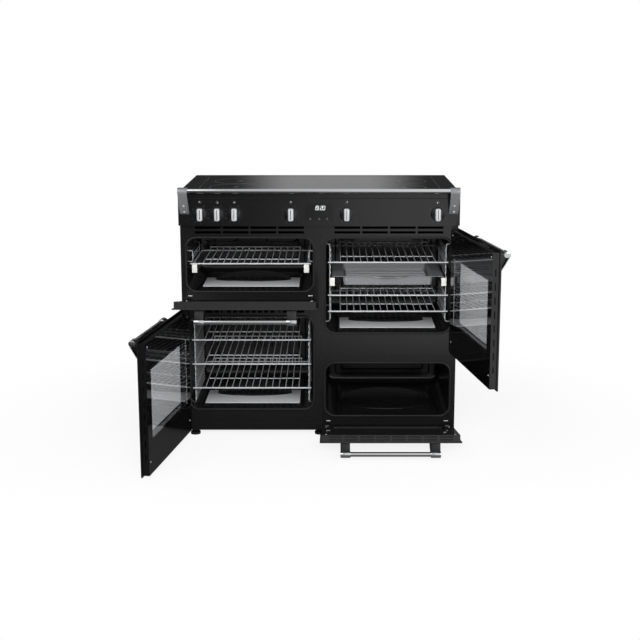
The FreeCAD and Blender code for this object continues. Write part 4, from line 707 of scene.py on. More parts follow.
@dataclass
class BarHandle:
    """A chrome bar between two end caps, each held by a black post and a curved chrome strap.

    All sizes are in metres, and a share is of the size that it follows. The handle is modelled along X,
    in front of a face at a given Y.
    """

    length: float = 0.350
    radius: float = 0.0083
    reach: float = 0.042
    cap_radius: float = 0.0108
    cap_width: float = 0.035
    nose: float = 0.0119
    strap: float = 0.0026
    strap_play: float = 0.001
    strap_wrap: tuple[float, float] = (70, 222)
    strap_steps: int = 8
    fall: float = 0.082
    bow_share: float = 0.035
    post: float = 0.012
    post_play: float = 0.0015
    post_fall_share: float = 0.8
    post_foot_share: float = 0.12
    bar_in_cap_share: float = 0.6

    def profile(self, axis: Point, face: float) -> list[tuple[float, float]]:
        """The strap's line in the YZ plane, from over the cap, round its front, down to the face.

        Args:
            axis: Y and Z of the bar's axis.
            face: Y of the surface that the strap's foot meets.

        Returns:
            The strap's points.
        """
        step = self.nose - self.cap_radius
        curl = (axis[0] - step * 0.5, axis[1] - step)
        points = arc(curl, self.nose - self.strap / 2, *self.strap_wrap, 20)
        foot = (face, axis[1] - self.fall)
        start = points[-1]
        for i in range(1, self.strap_steps + 1):
            t = i / self.strap_steps
            bow = math.sin(t * math.pi) * self.fall * self.bow_share * DIAGONAL
            points.append((start[0] + (foot[0] - start[0]) * t - bow,
                           start[1] + (foot[1] - start[1]) * t - bow))
        return points

    def wedge(self, name: str, axis: Point, face: float, start: float, wide: float) -> bpy.types.Object:
        """The black bracket that fills the strap's hollow, from the cap to the face.

        Args:
            name: the piece's name.
            axis: Y and Z of the bar's axis.
            face: Y of the surface behind.
            start: X of its left side.
            wide: its width.

        Returns:
            The bracket.
        """
        low, high = (start, axis[0], axis[1] - self.post / 2), (start + wide, face, axis[1] + self.post / 2)
        piece = block(name, low, high)
        choose(piece, "FACE", lambda centre, normal: normal.z < -0.9)
        bpy.ops.mesh.extrude_region_move(
            TRANSFORM_OT_translate={"value": (0, 0, -self.fall * self.post_fall_share)})
        bpy.ops.transform.resize(value=(1, self.post_foot_share, 1), center_override=(start, face, 0))
        close_edit()
        modify(piece, "BEVEL", width=0.0015, segments=2, limit_method="ANGLE")
        return piece

    def build(self, name: str, centre: Point, face: float) -> dict[str, bpy.types.Object]:
        """Models the whole handle.

        Args:
            name: the first part of the pieces' names.
            centre: X of the middle, Y and Z of the bar's axis.
            face: Y of the surface behind.

        Returns:
            The bar, the caps with their straps, and the posts.
        """
        x, y, z = centre
        half, wide = self.length / 2, self.cap_width
        reach = wide * self.bar_in_cap_share
        grip = bar(name + "_bar", (x - half + reach, y, z), (x + half - reach, y, z), self.radius, 40)
        metal, posts = [], []
        # Stands the strap's ribbon, which is drawn flat in XY, up in YZ with its width along X.
        turn = Matrix(((0, 0, 1, 0), (1, 0, 0, 0), (0, 1, 0, 0), (0, 0, 0, 1)))
        for i, start in enumerate((x - half, x + half - wide)):
            metal.append(bar("%s_cap_%d" % (name, i), (start, y, z), (start + wide, y, z),
                             self.cap_radius, 40, 0.0012))
            strap = from_curve("%s_strap_%d" % (name, i), self.profile((y, z), face),
                               width=wide - self.strap_play)
            strap.data.transform(Matrix.Translation((start + wide / 2, 0, 0)) @ turn)
            modify(strap, "SOLIDIFY", thickness=self.strap, offset=0.0)
            modify(strap, "BEVEL", width=0.0006, segments=2, limit_method="ANGLE")
            metal.append(strap)
            posts.append(self.wedge("%s_post_%d" % (name, i), (y, z), face, start + self.post_play,
                                    wide - 2 * self.post_play))
        return {"bar": grip, "straps": join(name + "_straps", metal), "posts": join(name + "_posts", posts)}


@dataclass
class SlotShadePlates:
    """Matt black plates inside the cooling slots along a drop-down door's upper edge: painted shade for the
    slots' dark depth.

    Places are those of the shut door at the origin.
    """

    low: tuple[float, float] = (-0.2152, -0.0083)
    high: tuple[float, float] = (-0.1698, -0.0027)
    drop: float = 0.0072
    plate: float = 0.0004
    slots: int = 8
    rows: int = 2
    slot_pitch: float = 0.055
    row_pitch: float = 0.010

    def model(self, name: str, edge: float) -> bpy.types.Object:
        """Models one shade plate and copies it along both rows.

        Args:
            name: the joined piece's name.
            edge: Z of the door's upper edge.

        Returns:
            The shade plates as one piece.
        """
        top = edge - self.drop
        first = block("baffle", (*self.low, top - self.plate), (*self.high, top))
        plates = [first] + [copy_of(first, "baffle", (i * self.slot_pitch, row * self.row_pitch, 0))
                            for row in range(self.rows) for i in range(self.slots) if row or i]
        return join(name, plates)


@dataclass
class DoorLooks:
    """What a door shows beyond its CAD solids: the handle, screws and, in one door, matt black plates in the
    slots that paint their shade.
    """

    name: str
    swing: Swing
    hinge: Point
    height: float
    baffles: Optional[SlotShadePlates] = None
    width: float = 0.494
    hinge_side: float = 0.011
    hinge_low: float = 0.013
    inner: float = 0.011
    outer: float = 0.017
    handle_drop: float = 0.026
    side_open: float = 99.8
    drop_open: float = 78.5
    screw_in: float = 0.022
    screw_low: float = 0.05
    screw: float = 0.0036
    screw_crown: float = 0.0028
    screw_sunk: float = 0.0004
    screw_proud: float = 0.0009
    slot: tuple[float, float] = (0.0022, 0.0004)
    slot_depth: tuple[float, float] = (0.0006, 0.0011)

    def matrix(self) -> Matrix:
        """Carries the shut door at the origin to the open door.

        Returns:
            The move as a matrix.
        """
        if self.swing is Swing.DROP:
            turn = Matrix.Rotation(math.radians(self.drop_open), 4, "X")
        else:
            sign = -1 if self.swing is Swing.LEFT else 1
            turn = Matrix.Rotation(math.radians(sign * self.side_open), 4, "Z")
        return Matrix.Translation(self.hinge) @ turn

    def middle(self) -> float:
        """Finds the door's middle from the hinge axis.

        Returns:
            Its X.
        """
        if self.swing is Swing.DROP:
            return 0.0
        reach = self.width / 2 - self.hinge_side
        return reach if self.swing is Swing.LEFT else -reach

    def low(self) -> float:
        """Z of the door's lower edge from the hinge's zero."""
        return -self.hinge_low if self.swing is Swing.DROP else 0.0

    def screws(self) -> bpy.types.Object:
        """Models raised screw heads in the corners of the inner panel, each with its slot marked.

        Returns:
            The heads as one piece.
        """
        heads = []
        base, reach, (long, wide) = self.low(), self.width / 2 - self.screw_in, self.slot
        rows = (self.screw_low, self.height - self.screw_in)
        for i, (dx, dz) in enumerate((x, z) for z in rows for x in (-reach, reach)):
            x, z = self.middle() + dx, base + dz
            heads.append(bar("%s_screw_%d" % (self.name, i), (x, self.inner - self.screw_sunk, z),
                             (x, self.inner + self.screw_proud, z), self.screw, 20, 0.0003,
                             tip=self.screw_crown))
            heads.append(block("%s_slot_%d" % (self.name, i),
                               (x - long, self.inner + self.slot_depth[0], z - wide),
                               (x + long, self.inner + self.slot_depth[1], z + wide)))
        return join(self.name + "_door_screws", heads)

    def build(self) -> None:
        """Models the pieces shut at the origin, carries them to the open door and fixes them."""
        body, place = "door_" + self.name, self.matrix()
        handle = BarHandle()
        axis = (self.middle(), -self.outer - handle.reach, self.low() + self.height - self.handle_drop)
        parts = handle.build(self.name + "_door", axis, -self.outer)
        prefix = self.name + "_door_"
        jobs = [(parts["bar"], "chrome", CHROME, prefix + "handle"),
                (parts["straps"], "chrome", CHROME, prefix + "straps"),
                (parts["posts"], "foot_black", BLACK_PLASTIC, ""),
                (self.screws(), "hinge_zinc", HINGE_STEEL, "")]
        # Matt black plates in the cooling slots: painted shade for the slots' depth.
        if self.baffles:
            plates = self.baffles.model(prefix + "slot_baffles", self.low() + self.height)
            jobs.append((plates, "door_enamel", SEAM_AND_SHADE_BLACK, ""))
        for piece, slot, finish, node in jobs:
            piece.data.transform(place)
            seat(piece, body, finish, [node] if node else [])


# ---------------------------------------------------------------- wire goods

@dataclass
class Shelf:
    """A plated wire shelf: rails, wires from front to rear, a stay under them and a raised rear stop.

    A share is of the rail's radius, apart from the stay's, which is its place from front to rear.
    """

    node: str
    body: str
    wires: int = 15
    wire_span: float = 0.346
    rail: float = 0.0028
    thin: float = 0.0017
    stop: float = 0.014
    stay: float = 0.36
    side: float = 0.2087
    lift: float = 0.0004
    setback: float = 0.001
    overhang: float = 0.004
    frame_bend: float = 0.014
    wire_bend: float = 0.004
    frame_share: float = 0.9
    stop_share: float = 0.8

    def build(self) -> None:
        """Models the shelf inside the box of its CAD node and stands it in for that node."""
        low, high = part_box(self.node)
        middle, y0, y1 = (low.x + high.x) / 2, low.y + self.rail, high.y - self.rail
        z = low.z + self.rail + self.lift
        edge = middle - self.side
        parts = [bar("rail", (low.x, y0, z), (high.x, y0, z), self.rail, 14, 0.0008)]
        loop = [(edge, y0, z), (edge, y1, z), (2 * middle - edge, y1, z), (2 * middle - edge, y0, z)]
        parts.append(from_curve("frame", soften(loop, self.frame_bend),
                                radius=self.rail * self.frame_share, sides=10))
        half = self.wire_span / 2
        x, pitch = middle - half, self.wire_span / (self.wires - 1)
        line = [(x, y0 + self.setback, z + self.thin), (x, y1, z + self.thin), (x, y1, z + self.stop)]
        wire = from_curve("wire", soften(line, self.wire_bend, 3), radius=self.thin, sides=6)
        parts += [wire] + [copy_of(wire, "wire", (i * pitch, 0, 0)) for i in range(1, self.wires)]
        y = y0 + (y1 - y0) * self.stay
        parts.append(bar("stay", (middle - half, y, z - self.thin), (middle + half, y, z - self.thin),
                         self.thin, 8))
        top, reach = z + self.stop, half + self.overhang
        parts.append(bar("stop", (middle - reach, y1, top), (middle + reach, y1, top),
                         self.rail * self.stop_share, 10))
        seat(join(self.node + "_wires", parts), self.body, WIRE_CHROME, [self.node])


@dataclass
class SideRack:
    """The shelf guides on both sides of an oven: uprights and hairpin guides with round noses."""

    oven: str
    middle: float
    levels: tuple[float, ...]
    length: float = 0.300
    guide: float = 0.2100
    wall: float = 0.2257
    front: float = -0.005
    wire: float = 0.0015
    under: float = 0.0053
    over: float = 0.0068
    nose_bend: float = 0.0055
    hook_bend: float = 0.006
    hook_below: float = 0.019
    hook_above: float = 0.021
    hook_setback: float = 0.020
    hook_share: float = 0.8
    post_out_share: float = 1.9

    def side(self, sign: int) -> list[bpy.types.Object]:
        """One side's wires.

        Args:
            sign: -1 for the left side and 1 for the right.

        Returns:
            The wires.
        """
        x = self.middle + sign * self.guide
        post = x + sign * self.wire * self.post_out_share
        rear = self.front + self.length
        first, front = self.levels[0], self.front + self.wire
        nose = [(x, rear, first - self.under), (x, front, first - self.under),
                (x, front, first + self.over), (x, rear, first + self.over)]
        hairpin = from_curve("hairpin", soften(nose, self.nose_bend), radius=self.wire, sides=8)
        parts = [hairpin] + [copy_of(hairpin, "hairpin", (0, 0, level - first))
                             for level in self.levels[1:]]
        low, high = min(self.levels) - self.hook_below, max(self.levels) + self.hook_above
        for y in (self.front + self.hook_setback, rear - self.wire):
            hook = [(self.middle + sign * self.wall, y, low), (post, y, low), (post, y, high),
                    (self.middle + sign * self.wall, y, high)]
            parts.append(from_curve("upright", soften(hook, self.hook_bend),
                                    radius=self.wire * self.hook_share, sides=8))
        return parts

    def build(self) -> bpy.types.Object:
        """Both sides' wires, joined."""
        return join("side_rack_" + self.oven, self.side(-1) + self.side(1))


@dataclass
class WireRacks:
    """All the side racks, which together stand for the racks' CAD node."""

    racks: tuple[SideRack, ...]

    def build(self) -> None:
        """Models every rack and fixes them as one piece."""
        joined = join("side_rack_wires", [rack.build() for rack in self.racks])
        seat(joined, "case", WIRE_CHROME, ["side_racks"])


# ---------------------------------------------------------------- knobs, marks and clock

@dataclass
class Knob:
    """A control knob: a black stepped skirt with a chrome bar grip across it and a black pointer.

    What is named front, root or tip is a distance before the skirt's face.
    """

    node: str
    x: float
    z: float = 0.838
    face: float = -0.0753
    radius: float = 0.025
    skirt: float = 0.009
    rim: float = 0.004
    dome: float = 0.0035
    dome_in: float = 0.0012
    crown_in: float = 0.004
    grip_half: float = 0.0098
    grip_tall: float = 0.0225
    grip_front: float = 0.0168
    grip_root: float = -0.0012
    grip_round: float = 0.0055
    mark_half: float = 0.0012
    mark_low: float = -0.016
    mark_high: float = 0.0185
    mark_front: float = 0.0172
    mark_root: float = 0.0155

    def model(self) -> tuple[bpy.types.Object, bpy.types.Object, bpy.types.Object]:
        """Models the skirt, the grip and the pointer.

        Returns:
            The three pieces, in that order.
        """
        x, z, front = self.x, self.z, self.face - self.skirt
        rim = bar(self.node + "_rim", (x, self.face, z), (x, self.face - self.rim, z),
                  self.radius, 64, 0.0008)
        dome = bar(self.node + "_dome", (x, self.face - self.dome, z), (x, front, z),
                   self.radius - self.dome_in, 64, 0.0012, tip=self.radius - self.crown_in)
        grip = block(self.node + "_grip", (x - self.grip_half, front - self.grip_front, z - self.grip_tall),
                     (x + self.grip_half, front - self.grip_root, z + self.grip_tall), self.grip_round, 6)
        mark = block(self.node + "_pointer", (x - self.mark_half, front - self.mark_front, z + self.mark_low),
                     (x + self.mark_half, front - self.mark_root, z + self.mark_high), 0.0003)
        return join(self.node + "_skirt", [rim, dome]), grip, mark

    def place(self, pieces: Sequence[bpy.types.Object]) -> None:
        """Fixes a skirt, a grip and a pointer to this knob's own body.

        Args:
            pieces: the three pieces, already in their places.
        """
        body = "turn_" + self.node
        seat(pieces[0], body, BLACK_ENAMEL, [self.node])
        seat(pieces[1], body, GRIP_CHROME)
        seat(pieces[2], body, BLACK_PLASTIC)


@dataclass
class KnobRow:
    """The control knobs: one is modelled and the others are copies of it."""

    knobs: Sequence[Knob]

    def build(self) -> None:
        """Models the first knob, copies it and fixes every knob to its body."""
        first = self.knobs[0]
        pieces = first.model()
        for knob in self.knobs[1:]:
            move = (knob.x - first.x, 0, knob.z - first.z)
            knob.place([copy_of(piece, piece.name.replace(first.node, knob.node), move) for piece in pieces])
        first.place(pieces)


@dataclass
class FasciaPrint:
    """Fired marks on the fascia: ticks round each knob, and its sign, a ring with a spot, above it."""

    face: float = -0.075
    knob_z: float = 0.838
    proud: float = 0.00025
    sunk: float = 0.0001
    ring: float = 0.0315
    sweep: tuple[float, float] = (25, 335)
    ticks: int = 11
    tick: float = 0.0007
    long_tick: float = 0.0004
    sign_up: float = 0.0425
    sign_ring: float = 0.0042
    sign_line: float = 0.0006
    spot: float = 0.0013
    spots: tuple[tuple[float, float], ...] = (
        (-0.0016, 0.0016), (0.0016, -0.0016), (0.0, 0.0), (0.0, 0.0016), (0.0016, 0.0016), (-0.0016, -0.0016))

    def dot(self, x: float, z: float, size: float) -> bpy.types.Object:
        """A round fired dot on the fascia."""
        return bar("dot", (x, self.face + self.sunk, z), (x, self.face - self.proud, z), size, 12)

    def scale(self, x: float) -> list[bpy.types.Object]:
        """Models the ticks on an arc round a knob, every third one larger.

        Args:
            x: the knob's X.

        Returns:
            The ticks.
        """
        ticks, (first, last) = [], self.sweep
        for i in range(self.ticks):
            turn = math.radians(first + (last - first) * i / (self.ticks - 1))
            ticks.append(self.dot(x + self.ring * math.sin(turn), self.knob_z + self.ring * math.cos(turn),
                                  self.tick + self.long_tick * (i % 3 == 0)))
        return ticks

    def build(self, knobs: Sequence[Knob]) -> None:
        """Prints the scales and the signs.

        Args:
            knobs: the knobs that the marks belong to.
        """
        marks: list[bpy.types.Object] = []
        ticks: list[bpy.types.Object] = []
        top = self.knob_z + self.sign_up
        for knob, (dx, dz) in zip(knobs, self.spots):
            ticks += self.scale(knob.x)
            ticks.append(hoop("hoop", (knob.x, self.face, top), self.sign_ring, self.sign_line,
                              self.proud / self.sign_line, 28))
            marks.append(self.dot(knob.x + dx, top + dz, self.spot))
        seat(join("fascia_signs", marks), "case", WHITE_PRINT)
        seat(join("fascia_ticks", ticks), "case", DIM_PRINT)


@dataclass
class Clock:
    """The clock's lit figures and its three touch signs, behind the smoked window."""

    face: float = -0.076
    centre_x: float = 0.002
    centre_z: float = 0.8605
    height: float = 0.0135
    width: float = 0.0068
    stroke: float = 0.0008
    pitch: float = 0.0098
    proud: float = 0.0003
    lean: float = 0.14
    shift: float = 0.0024
    colon_share: float = 0.45
    figures: str = "19:20"
    places: tuple[float, ...] = (-2.0, -1.05, -0.35, 0.35, 1.3)
    signs: tuple[float, ...] = (-0.031, 0.0, 0.028)
    sign_z: float = 0.8215
    sign_ring: float = 0.0032
    sign_line: float = 0.0005
    sign_flat: float = 0.4
    dash: tuple[float, float, float] = (0.0012, 0.0002, 0.0005)

    SEGMENTS = {"0": "abcdef", "1": "bc", "2": "abged", "3": "abgcd", "4": "fgbc", "5": "afgcd",
                "6": "afgedc", "7": "abc", "8": "abcdefg", "9": "abfgcd"}

    def strokes(self, figure: str, x: float) -> list[bpy.types.Object]:
        """Models one figure from straight strokes.

        Args:
            figure: a digit or a colon.
            x: the figure's middle.

        Returns:
            Its strokes.
        """
        w, h, s, z = self.width / 2, self.height / 2, self.stroke / 2, self.centre_z
        front = self.face - self.proud
        if figure == ":":
            return [block("stop", (x - s, front, z + dz - s), (x + s, self.face, z + dz + s))
                    for dz in (-h * self.colon_share, h * self.colon_share)]
        ends = {"a": (-w, h, w, h), "g": (-w, 0, w, 0), "d": (-w, -h, w, -h), "b": (w, 0, w, h),
                "c": (w, -h, w, 0), "f": (-w, 0, -w, h), "e": (-w, -h, -w, 0)}
        out = []
        for key in self.SEGMENTS[figure]:
            x0, z0, x1, z1 = ends[key]
            out.append(block("stroke", (x + x0 - s, front, z + z0 - s), (x + x1 + s, self.face, z + z1 + s)))
        return out

    def build(self) -> None:
        """Models the figures, leans them, and models the touch signs."""
        lit: list[bpy.types.Object] = []
        for figure, place in zip(self.figures, self.places):
            lit += self.strokes(figure, self.centre_x + self.shift + place * self.pitch)
        figures = join("clock_figures", lit)
        lean = Matrix(((1, 0, self.lean, -self.lean * self.centre_z), (0, 1, 0, 0), (0, 0, 1, 0),
                       (0, 0, 0, 1)))
        figures.data.transform(lean)
        seat(figures, "case", DIGITS)
        dim, (long, proud, wide) = [], self.dash
        for x in self.signs:
            dim.append(hoop("sign", (x, self.face, self.sign_z), self.sign_ring, self.sign_line,
                            self.sign_flat, 24))
            dim.append(block("bar", (x - long, self.face - proud, self.sign_z - wide),
                             (x + long, self.face, self.sign_z + wide)))
        seat(join("touch_signs", dim), "case", DIM_PRINT)


# ---------------------------------------------------------------- hob and handrail

@dataclass
class HobMarks:
    """What lies on the hob's glass: a ring and a cross for each cooking zone, and trims on its sides.

    A zone is its X, its distance behind the front and its radius.
    """

    front: float = -0.075
    zones: tuple[tuple[float, float, float], ...] = (
        (-0.306, 0.375, 0.098), (-0.306, 0.172, 0.098), (0.002, 0.307, 0.114), (0.307, 0.372, 0.100),
        (0.311, 0.157, 0.080))
    line: float = 0.0007
    flat: float = 0.2
    cross: tuple[float, float] = (0.011, 0.0008)
    proud: float = 0.00018
    trim: float = 0.0007
    trim_sunk: float = 0.0004
    trim_proud: float = 0.0006

    def zone_marks(self, top: float) -> bpy.types.Object:
        """Models a ring and a cross for every zone.

        Args:
            top: Z of the glass's face.

        Returns:
            The marks as one piece.
        """
        marks = []
        for x, behind, radius in self.zones:
            y = self.front + behind
            marks.append(hoop("ring", (x, y, top), radius, self.line, self.flat, 96, upright=False))
            for dx, dy in (self.cross, self.cross[::-1]):
                marks.append(block("cross", (x - dx, y - dy, top), (x + dx, y + dy, top + self.proud)))
        return join("zone_marks", marks)

    def build(self) -> None:
        """Prints the zones and trims the glass's left and right edges."""
        low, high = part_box("hob_glass")
        seat(self.zone_marks(high.z), "case", GREY_PRINT)
        edges = [block("edge", (x - self.trim, low.y, high.z - self.trim_sunk),
                       (x + self.trim, high.y, high.z + self.trim_proud), 0.0003) for x in (low.x, high.x)]
        seat(join("glass_edge_trims", edges), "case", BRIGHT_TRIM)


@dataclass
class Handrail:
    """The rail along the front: a chrome tube between caps on two straps with bright screws.

    A screw is given by Z and Y on the strap; its root and tip are the head's ends from there.
    """

    length: float = 0.987
    fascia: float = -0.075
    reach: float = 0.050
    axis_z: float = 0.927
    gap: float = 0.0003
    screw_x: float = 0.4765
    screws: tuple[tuple[float, float], ...] = ((0.872, -0.1045), (0.848, -0.0845))
    screw: float = 0.0042
    root: tuple[float, float] = (0.002, 0.002)
    tip: tuple[float, float] = (-0.0018, -0.0022)

    def build(self) -> None:
        """Models the rail and stands it in for the CAD rail and brackets."""
        sizes = BarHandle(length=self.length, radius=0.0093, reach=self.reach, cap_radius=0.0115,
                          cap_width=0.034, nose=0.014, strap=0.0034, fall=0.087, post=0.012)
        parts = sizes.build("rail", (0.0, self.fascia - self.reach, self.axis_z), self.fascia - self.gap)
        seat(parts["bar"], "case", CHROME, ["handrail"])
        seat(parts["straps"], "case", STRAP_CHROME, ["handrail_brackets"])
        seat(parts["posts"], "case", BLACK_PLASTIC)
        heads = []
        for x in (-self.screw_x, self.screw_x):
            for z, y in self.screws:
                heads.append(bar("head", (x, y + self.root[1], z + self.root[0]),
                                 (x, y + self.tip[1], z + self.tip[0]), self.screw, 24, 0.0009))
        seat(join("rail_screws", heads), "case", GRIP_CHROME)


# ---------------------------------------------------------------- ovens

@dataclass(frozen=True)
class FloorDome:
    """Sizes of the low dome over the lower heating rod.

    It rises from a little over the mouth's lower edge, its half width is a share of the mouth's, and its
    front half is flattened to another share.
    """

    base: float = 0.0094
    wide_share: float = 0.315
    front_share: float = 0.26
    middle: float = 0.165
    half_deep: float = 0.170
    tall: float = 0.012
    sheet: float = 0.0008


@dataclass
class Oven:
    """One oven's pressed liner, a pale floor plate that paints the floor's reflection, the floor dome, and
    the bead round its mouth.

    The cavity's box is read from the CAD liner; all other sizes are in metres. A pressing step takes the
    first two sizes off the panel's width and its height or depth, and moves it by the third.
    """

    name: str
    light_floor: bool = True
    dome: FloorDome = FloorDome()
    wall: float = 0.001
    collar: float = 0.0046
    corner: float = 0.0335
    rear_corner: float = 0.020
    face: float = -0.042
    bead: float = 0.0034
    bead_out: float = 0.0045
    bead_proud: float = 0.0004
    back_steps: tuple[tuple[float, float, float], ...] = (
        (0.03, 0.03, 0), (0.012, 0.012, -0.005), (0.05, 0.05, 0), (0.014, 0.014, 0.006))
    floor_steps: tuple[tuple[float, float, float], ...] = (
        (0.008, 0.012, 0), (0.012, 0.012, 0.004), (0.030, 0.012, 0), (0.010, 0.010, 0.003))
    plate_up: float = 0.0072
    plate_side: float = 0.050
    plate_deep: tuple[float, float] = (0.034, 0.200)
    plate: float = 0.0022

    def hole(self) -> tuple[Vector, Vector]:
        """Finds the cavity's box from the liner's node.

        Returns:
            Its lowest and its highest corner.
        """
        low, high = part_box("liner_" + self.name)
        edge = Vector((self.collar, 0, self.collar))
        return low + edge, high - edge - Vector((0, self.wall, 0))

    def shell(self) -> bpy.types.Object:
        """Models the liner: a deep-drawn box with round corners, a ribbed back and a raised floor.

        Returns:
            The liner.
        """
        low, high = self.hole()
        piece = block("liner_shell_" + self.name, low, high)
        remove(piece, lambda centre, normal: normal.y < -0.9)
        choose(piece, "EDGE", lambda a, b: abs(a.y - b.y) > 0.1)
        bpy.ops.mesh.bevel(offset=self.corner, segments=9)
        close_edit()
        choose(piece, "EDGE", lambda a, b: min(a.y, b.y) > high.y - 0.0005)
        bpy.ops.mesh.bevel(offset=self.rear_corner, segments=5)
        close_edit()
        wide, deep, tall = high - low
        back = (low + high) / 2
        press(piece, lambda centre, normal: normal.y > 0.9 and (centre - back).xz.length < 0.004, back, [
            ((1 - x / wide, 1, 1 - z / tall), (0, y, 0)) for x, z, y in self.back_steps])
        press(piece, lambda centre, normal: normal.z < -0.9 and (centre - back).xy.length < 0.03, back, [
            ((1 - x / wide, 1 - y / deep, 1), (0, 0, z)) for x, y, z in self.floor_steps])
        flip(piece)
        modify(piece, "SOLIDIFY", thickness=self.wall, offset=-1.0)
        return piece

    def floor_plate(self) -> bpy.types.Object:
        """Models a pale plate on the raised floor, with a rounded edge: a painted reflection of the bright
        front in the glossy floor, over its front part.

        Returns:
            The plate.
        """
        low, high = self.hole()
        z, (front, rear) = low.z + self.plate_up, self.plate_deep
        return block(self.name + "_floor_plate", (low.x + self.plate_side, low.y + front, z),
                     (high.x - self.plate_side, low.y + rear, z + self.plate), 0.0009)

    def floor_dome(self) -> bpy.types.Object:
        """Models the low dome over the lower heating rod: an arch behind and almost straight in front.

        Returns:
            The dome.
        """
        low, high = self.hole()
        middle = Vector(((low.x + high.x) / 2, low.y + self.dome.middle, low.z + self.dome.base))
        wide = (high.x - low.x) * self.dome.wide_share
        deselect()
        bpy.ops.mesh.primitive_uv_sphere_add(segments=64, ring_count=24, location=middle)
        bpy.context.object.scale = (wide, self.dome.half_deep, self.dome.tall)
        dome = settle(self.name + "_floor_dome")
        choose(dome, "FACE", lambda centre, normal: centre.y < middle.y)
        bpy.ops.transform.resize(value=(1, self.dome.front_share, 1), center_override=middle)
        close_edit()
        remove(dome, lambda centre, normal: centre.z < middle.z)
        modify(dome, "SOLIDIFY", thickness=self.dome.sheet, offset=-1.0)
        return dome

    def seal(self) -> bpy.types.Object:
        """Models the round knitted bead that the door closes on.

        Returns:
            The bead.
        """
        low, high = self.hole()
        out = self.bead_out
        line = [(x, self.face - self.bead_proud, z) for x, z in rounded(
            (low.x - out, low.z - out), (high.x + out, high.z + out), self.corner + out, 12)]
        return from_curve(self.name + "_seal_bead", line, closed=True, radius=self.bead, sides=12)

    def build(self) -> None:
        """Models the oven's pieces, apart from the bead, and fixes them to the case."""
        seat(self.shell(), "case", OVEN_ENAMEL, ["liner_" + self.name])
        # The pale plate is painted reflection: it shows the bright front as the glossy floor would mirror it.
        if self.light_floor:
            seat(self.floor_plate(), "case", PAINTED_FLOOR_REFLECTION)
        seat(self.floor_dome(), "case", OVEN_ENAMEL)


@dataclass
class FrontDetails:
    """Small things on the front frame: joints, vent bridges, hinge arms, and a matt black sheet behind that
    paints the shade seen through the cooling slots.
    """

    face: float = -0.042
    side: float = 0.498
    seam: float = 0.0008
    seam_proud: float = 0.0003
    seam_x: float = 0.006
    seam_z: float = 0.310
    seam_ends: tuple[float, float] = (0.030, 0.792)
    foot_seam: tuple[float, float] = (0.0535, 0.0545)
    vent_z: float = 0.477
    column: float = -0.250
    bridges: int = 13
    bridge_pitch: float = 0.0225
    bridge_wide: float = 0.008
    bridge_tall: float = 0.006
    bridge_deep: tuple[float, float] = (-0.0004, 0.0016)
    hinges: tuple[tuple[float, float], ...] = ((-0.250, 0.5355), (0.250, 0.0625))
    arm_apart: float = 0.2175
    arm: tuple[float, float] = (0.0078, 0.0018)
    arm_deep: tuple[float, float] = (-0.0026, 0.001)
    shade_sheet_low: Point = (-0.494, 0.5150, 0.052)
    shade_sheet_high: Point = (0.494, 0.5162, 0.880)

    def seams(self) -> bpy.types.Object:
        """Models the dark joints between the frame's pressings.

        Returns:
            The joints as one piece.
        """
        x, z, thin, y = self.seam_x, self.seam_z, self.seam, self.face - self.seam_proud
        (start, end), (low, high) = self.seam_ends, self.foot_seam
        lines = [block("seam", (x - thin, y, start), (x + thin, self.face, end)),
                 block("seam", (x, y, z - thin), (self.side, self.face, z + thin)),
                 block("seam", (-self.side, y, low), (x, self.face, high))]
        return join("frame_seams", lines)

    def vent_bridges(self) -> bpy.types.Object:
        """Models the short bridges that divide the lower vents into many small slots.

        Returns:
            The bridges as one piece.
        """
        half, (front, rear) = self.bridge_wide / 2, self.bridge_deep
        start = self.column - (self.bridges - 1) * self.bridge_pitch / 2
        bars = []
        for x in (start + i * self.bridge_pitch for i in range(self.bridges)):
            bars.append(block("bridge", (x - half, self.face + front, self.vent_z - self.bridge_tall),
                              (x + half, self.face + rear, self.vent_z + self.bridge_tall), 0.0002, 1))
        return join("vent_bridges", bars)

    def hinge_arms(self) -> bpy.types.Object:
        """Models the bright ends of the drop-down doors' hinge arms, where they leave the frame.

        Returns:
            The ends as one piece.
        """
        arms, (half, tall), (front, rear) = [], self.arm, self.arm_deep
        for middle, z in self.hinges:
            for x in (middle - self.arm_apart, middle + self.arm_apart):
                arms.append(block("arm", (x - half, self.face + front, z - tall),
                                  (x + half, self.face + rear, z + tall), 0.0012))
        return join("hinge_arm_ends", arms)

    def shield(self) -> bpy.types.Object:
        """A matt black sheet behind the ovens: painted shade that darkens the view through the cooling slots.
        """
        return block("rear_heat_shield", self.shade_sheet_low, self.shade_sheet_high, 0.0004, 1)

    def build(self) -> None:
        """Models the details and fixes them to the case."""
        seat(self.seams(), "case", SEAM_AND_SHADE_BLACK)
        seat(self.vent_bridges(), "case", FRAME_ENAMEL)
        seat(self.hinge_arms(), "case", HINGE_STEEL)
        # The black sheet behind the ovens is painted shade for the view through the cooling slots.
        seat(self.shield(), "case", SEAM_AND_SHADE_BLACK)


@dataclass
class RunnerCaps:
    """The pale nylon caps on the front ends of the telescopic runners."""

    node: str
    body: str
    width: float = 0.018
    depth: float = 0.0006
    lap: float = 0.0002
    hold: float = 0.003

    def build(self) -> None:
        """Caps both slides' fronts."""
        low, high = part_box(self.node)
        caps = []
        for x in (low.x, high.x - self.width):
            caps.append(block("cap", (x - self.lap, low.y - self.depth, low.z - self.lap),
                              (x + self.width + self.lap, low.y + self.hold, high.z + self.lap), 0.0004))
        seat(join(self.node + "_caps", caps), self.body, RUNNER_CAP)


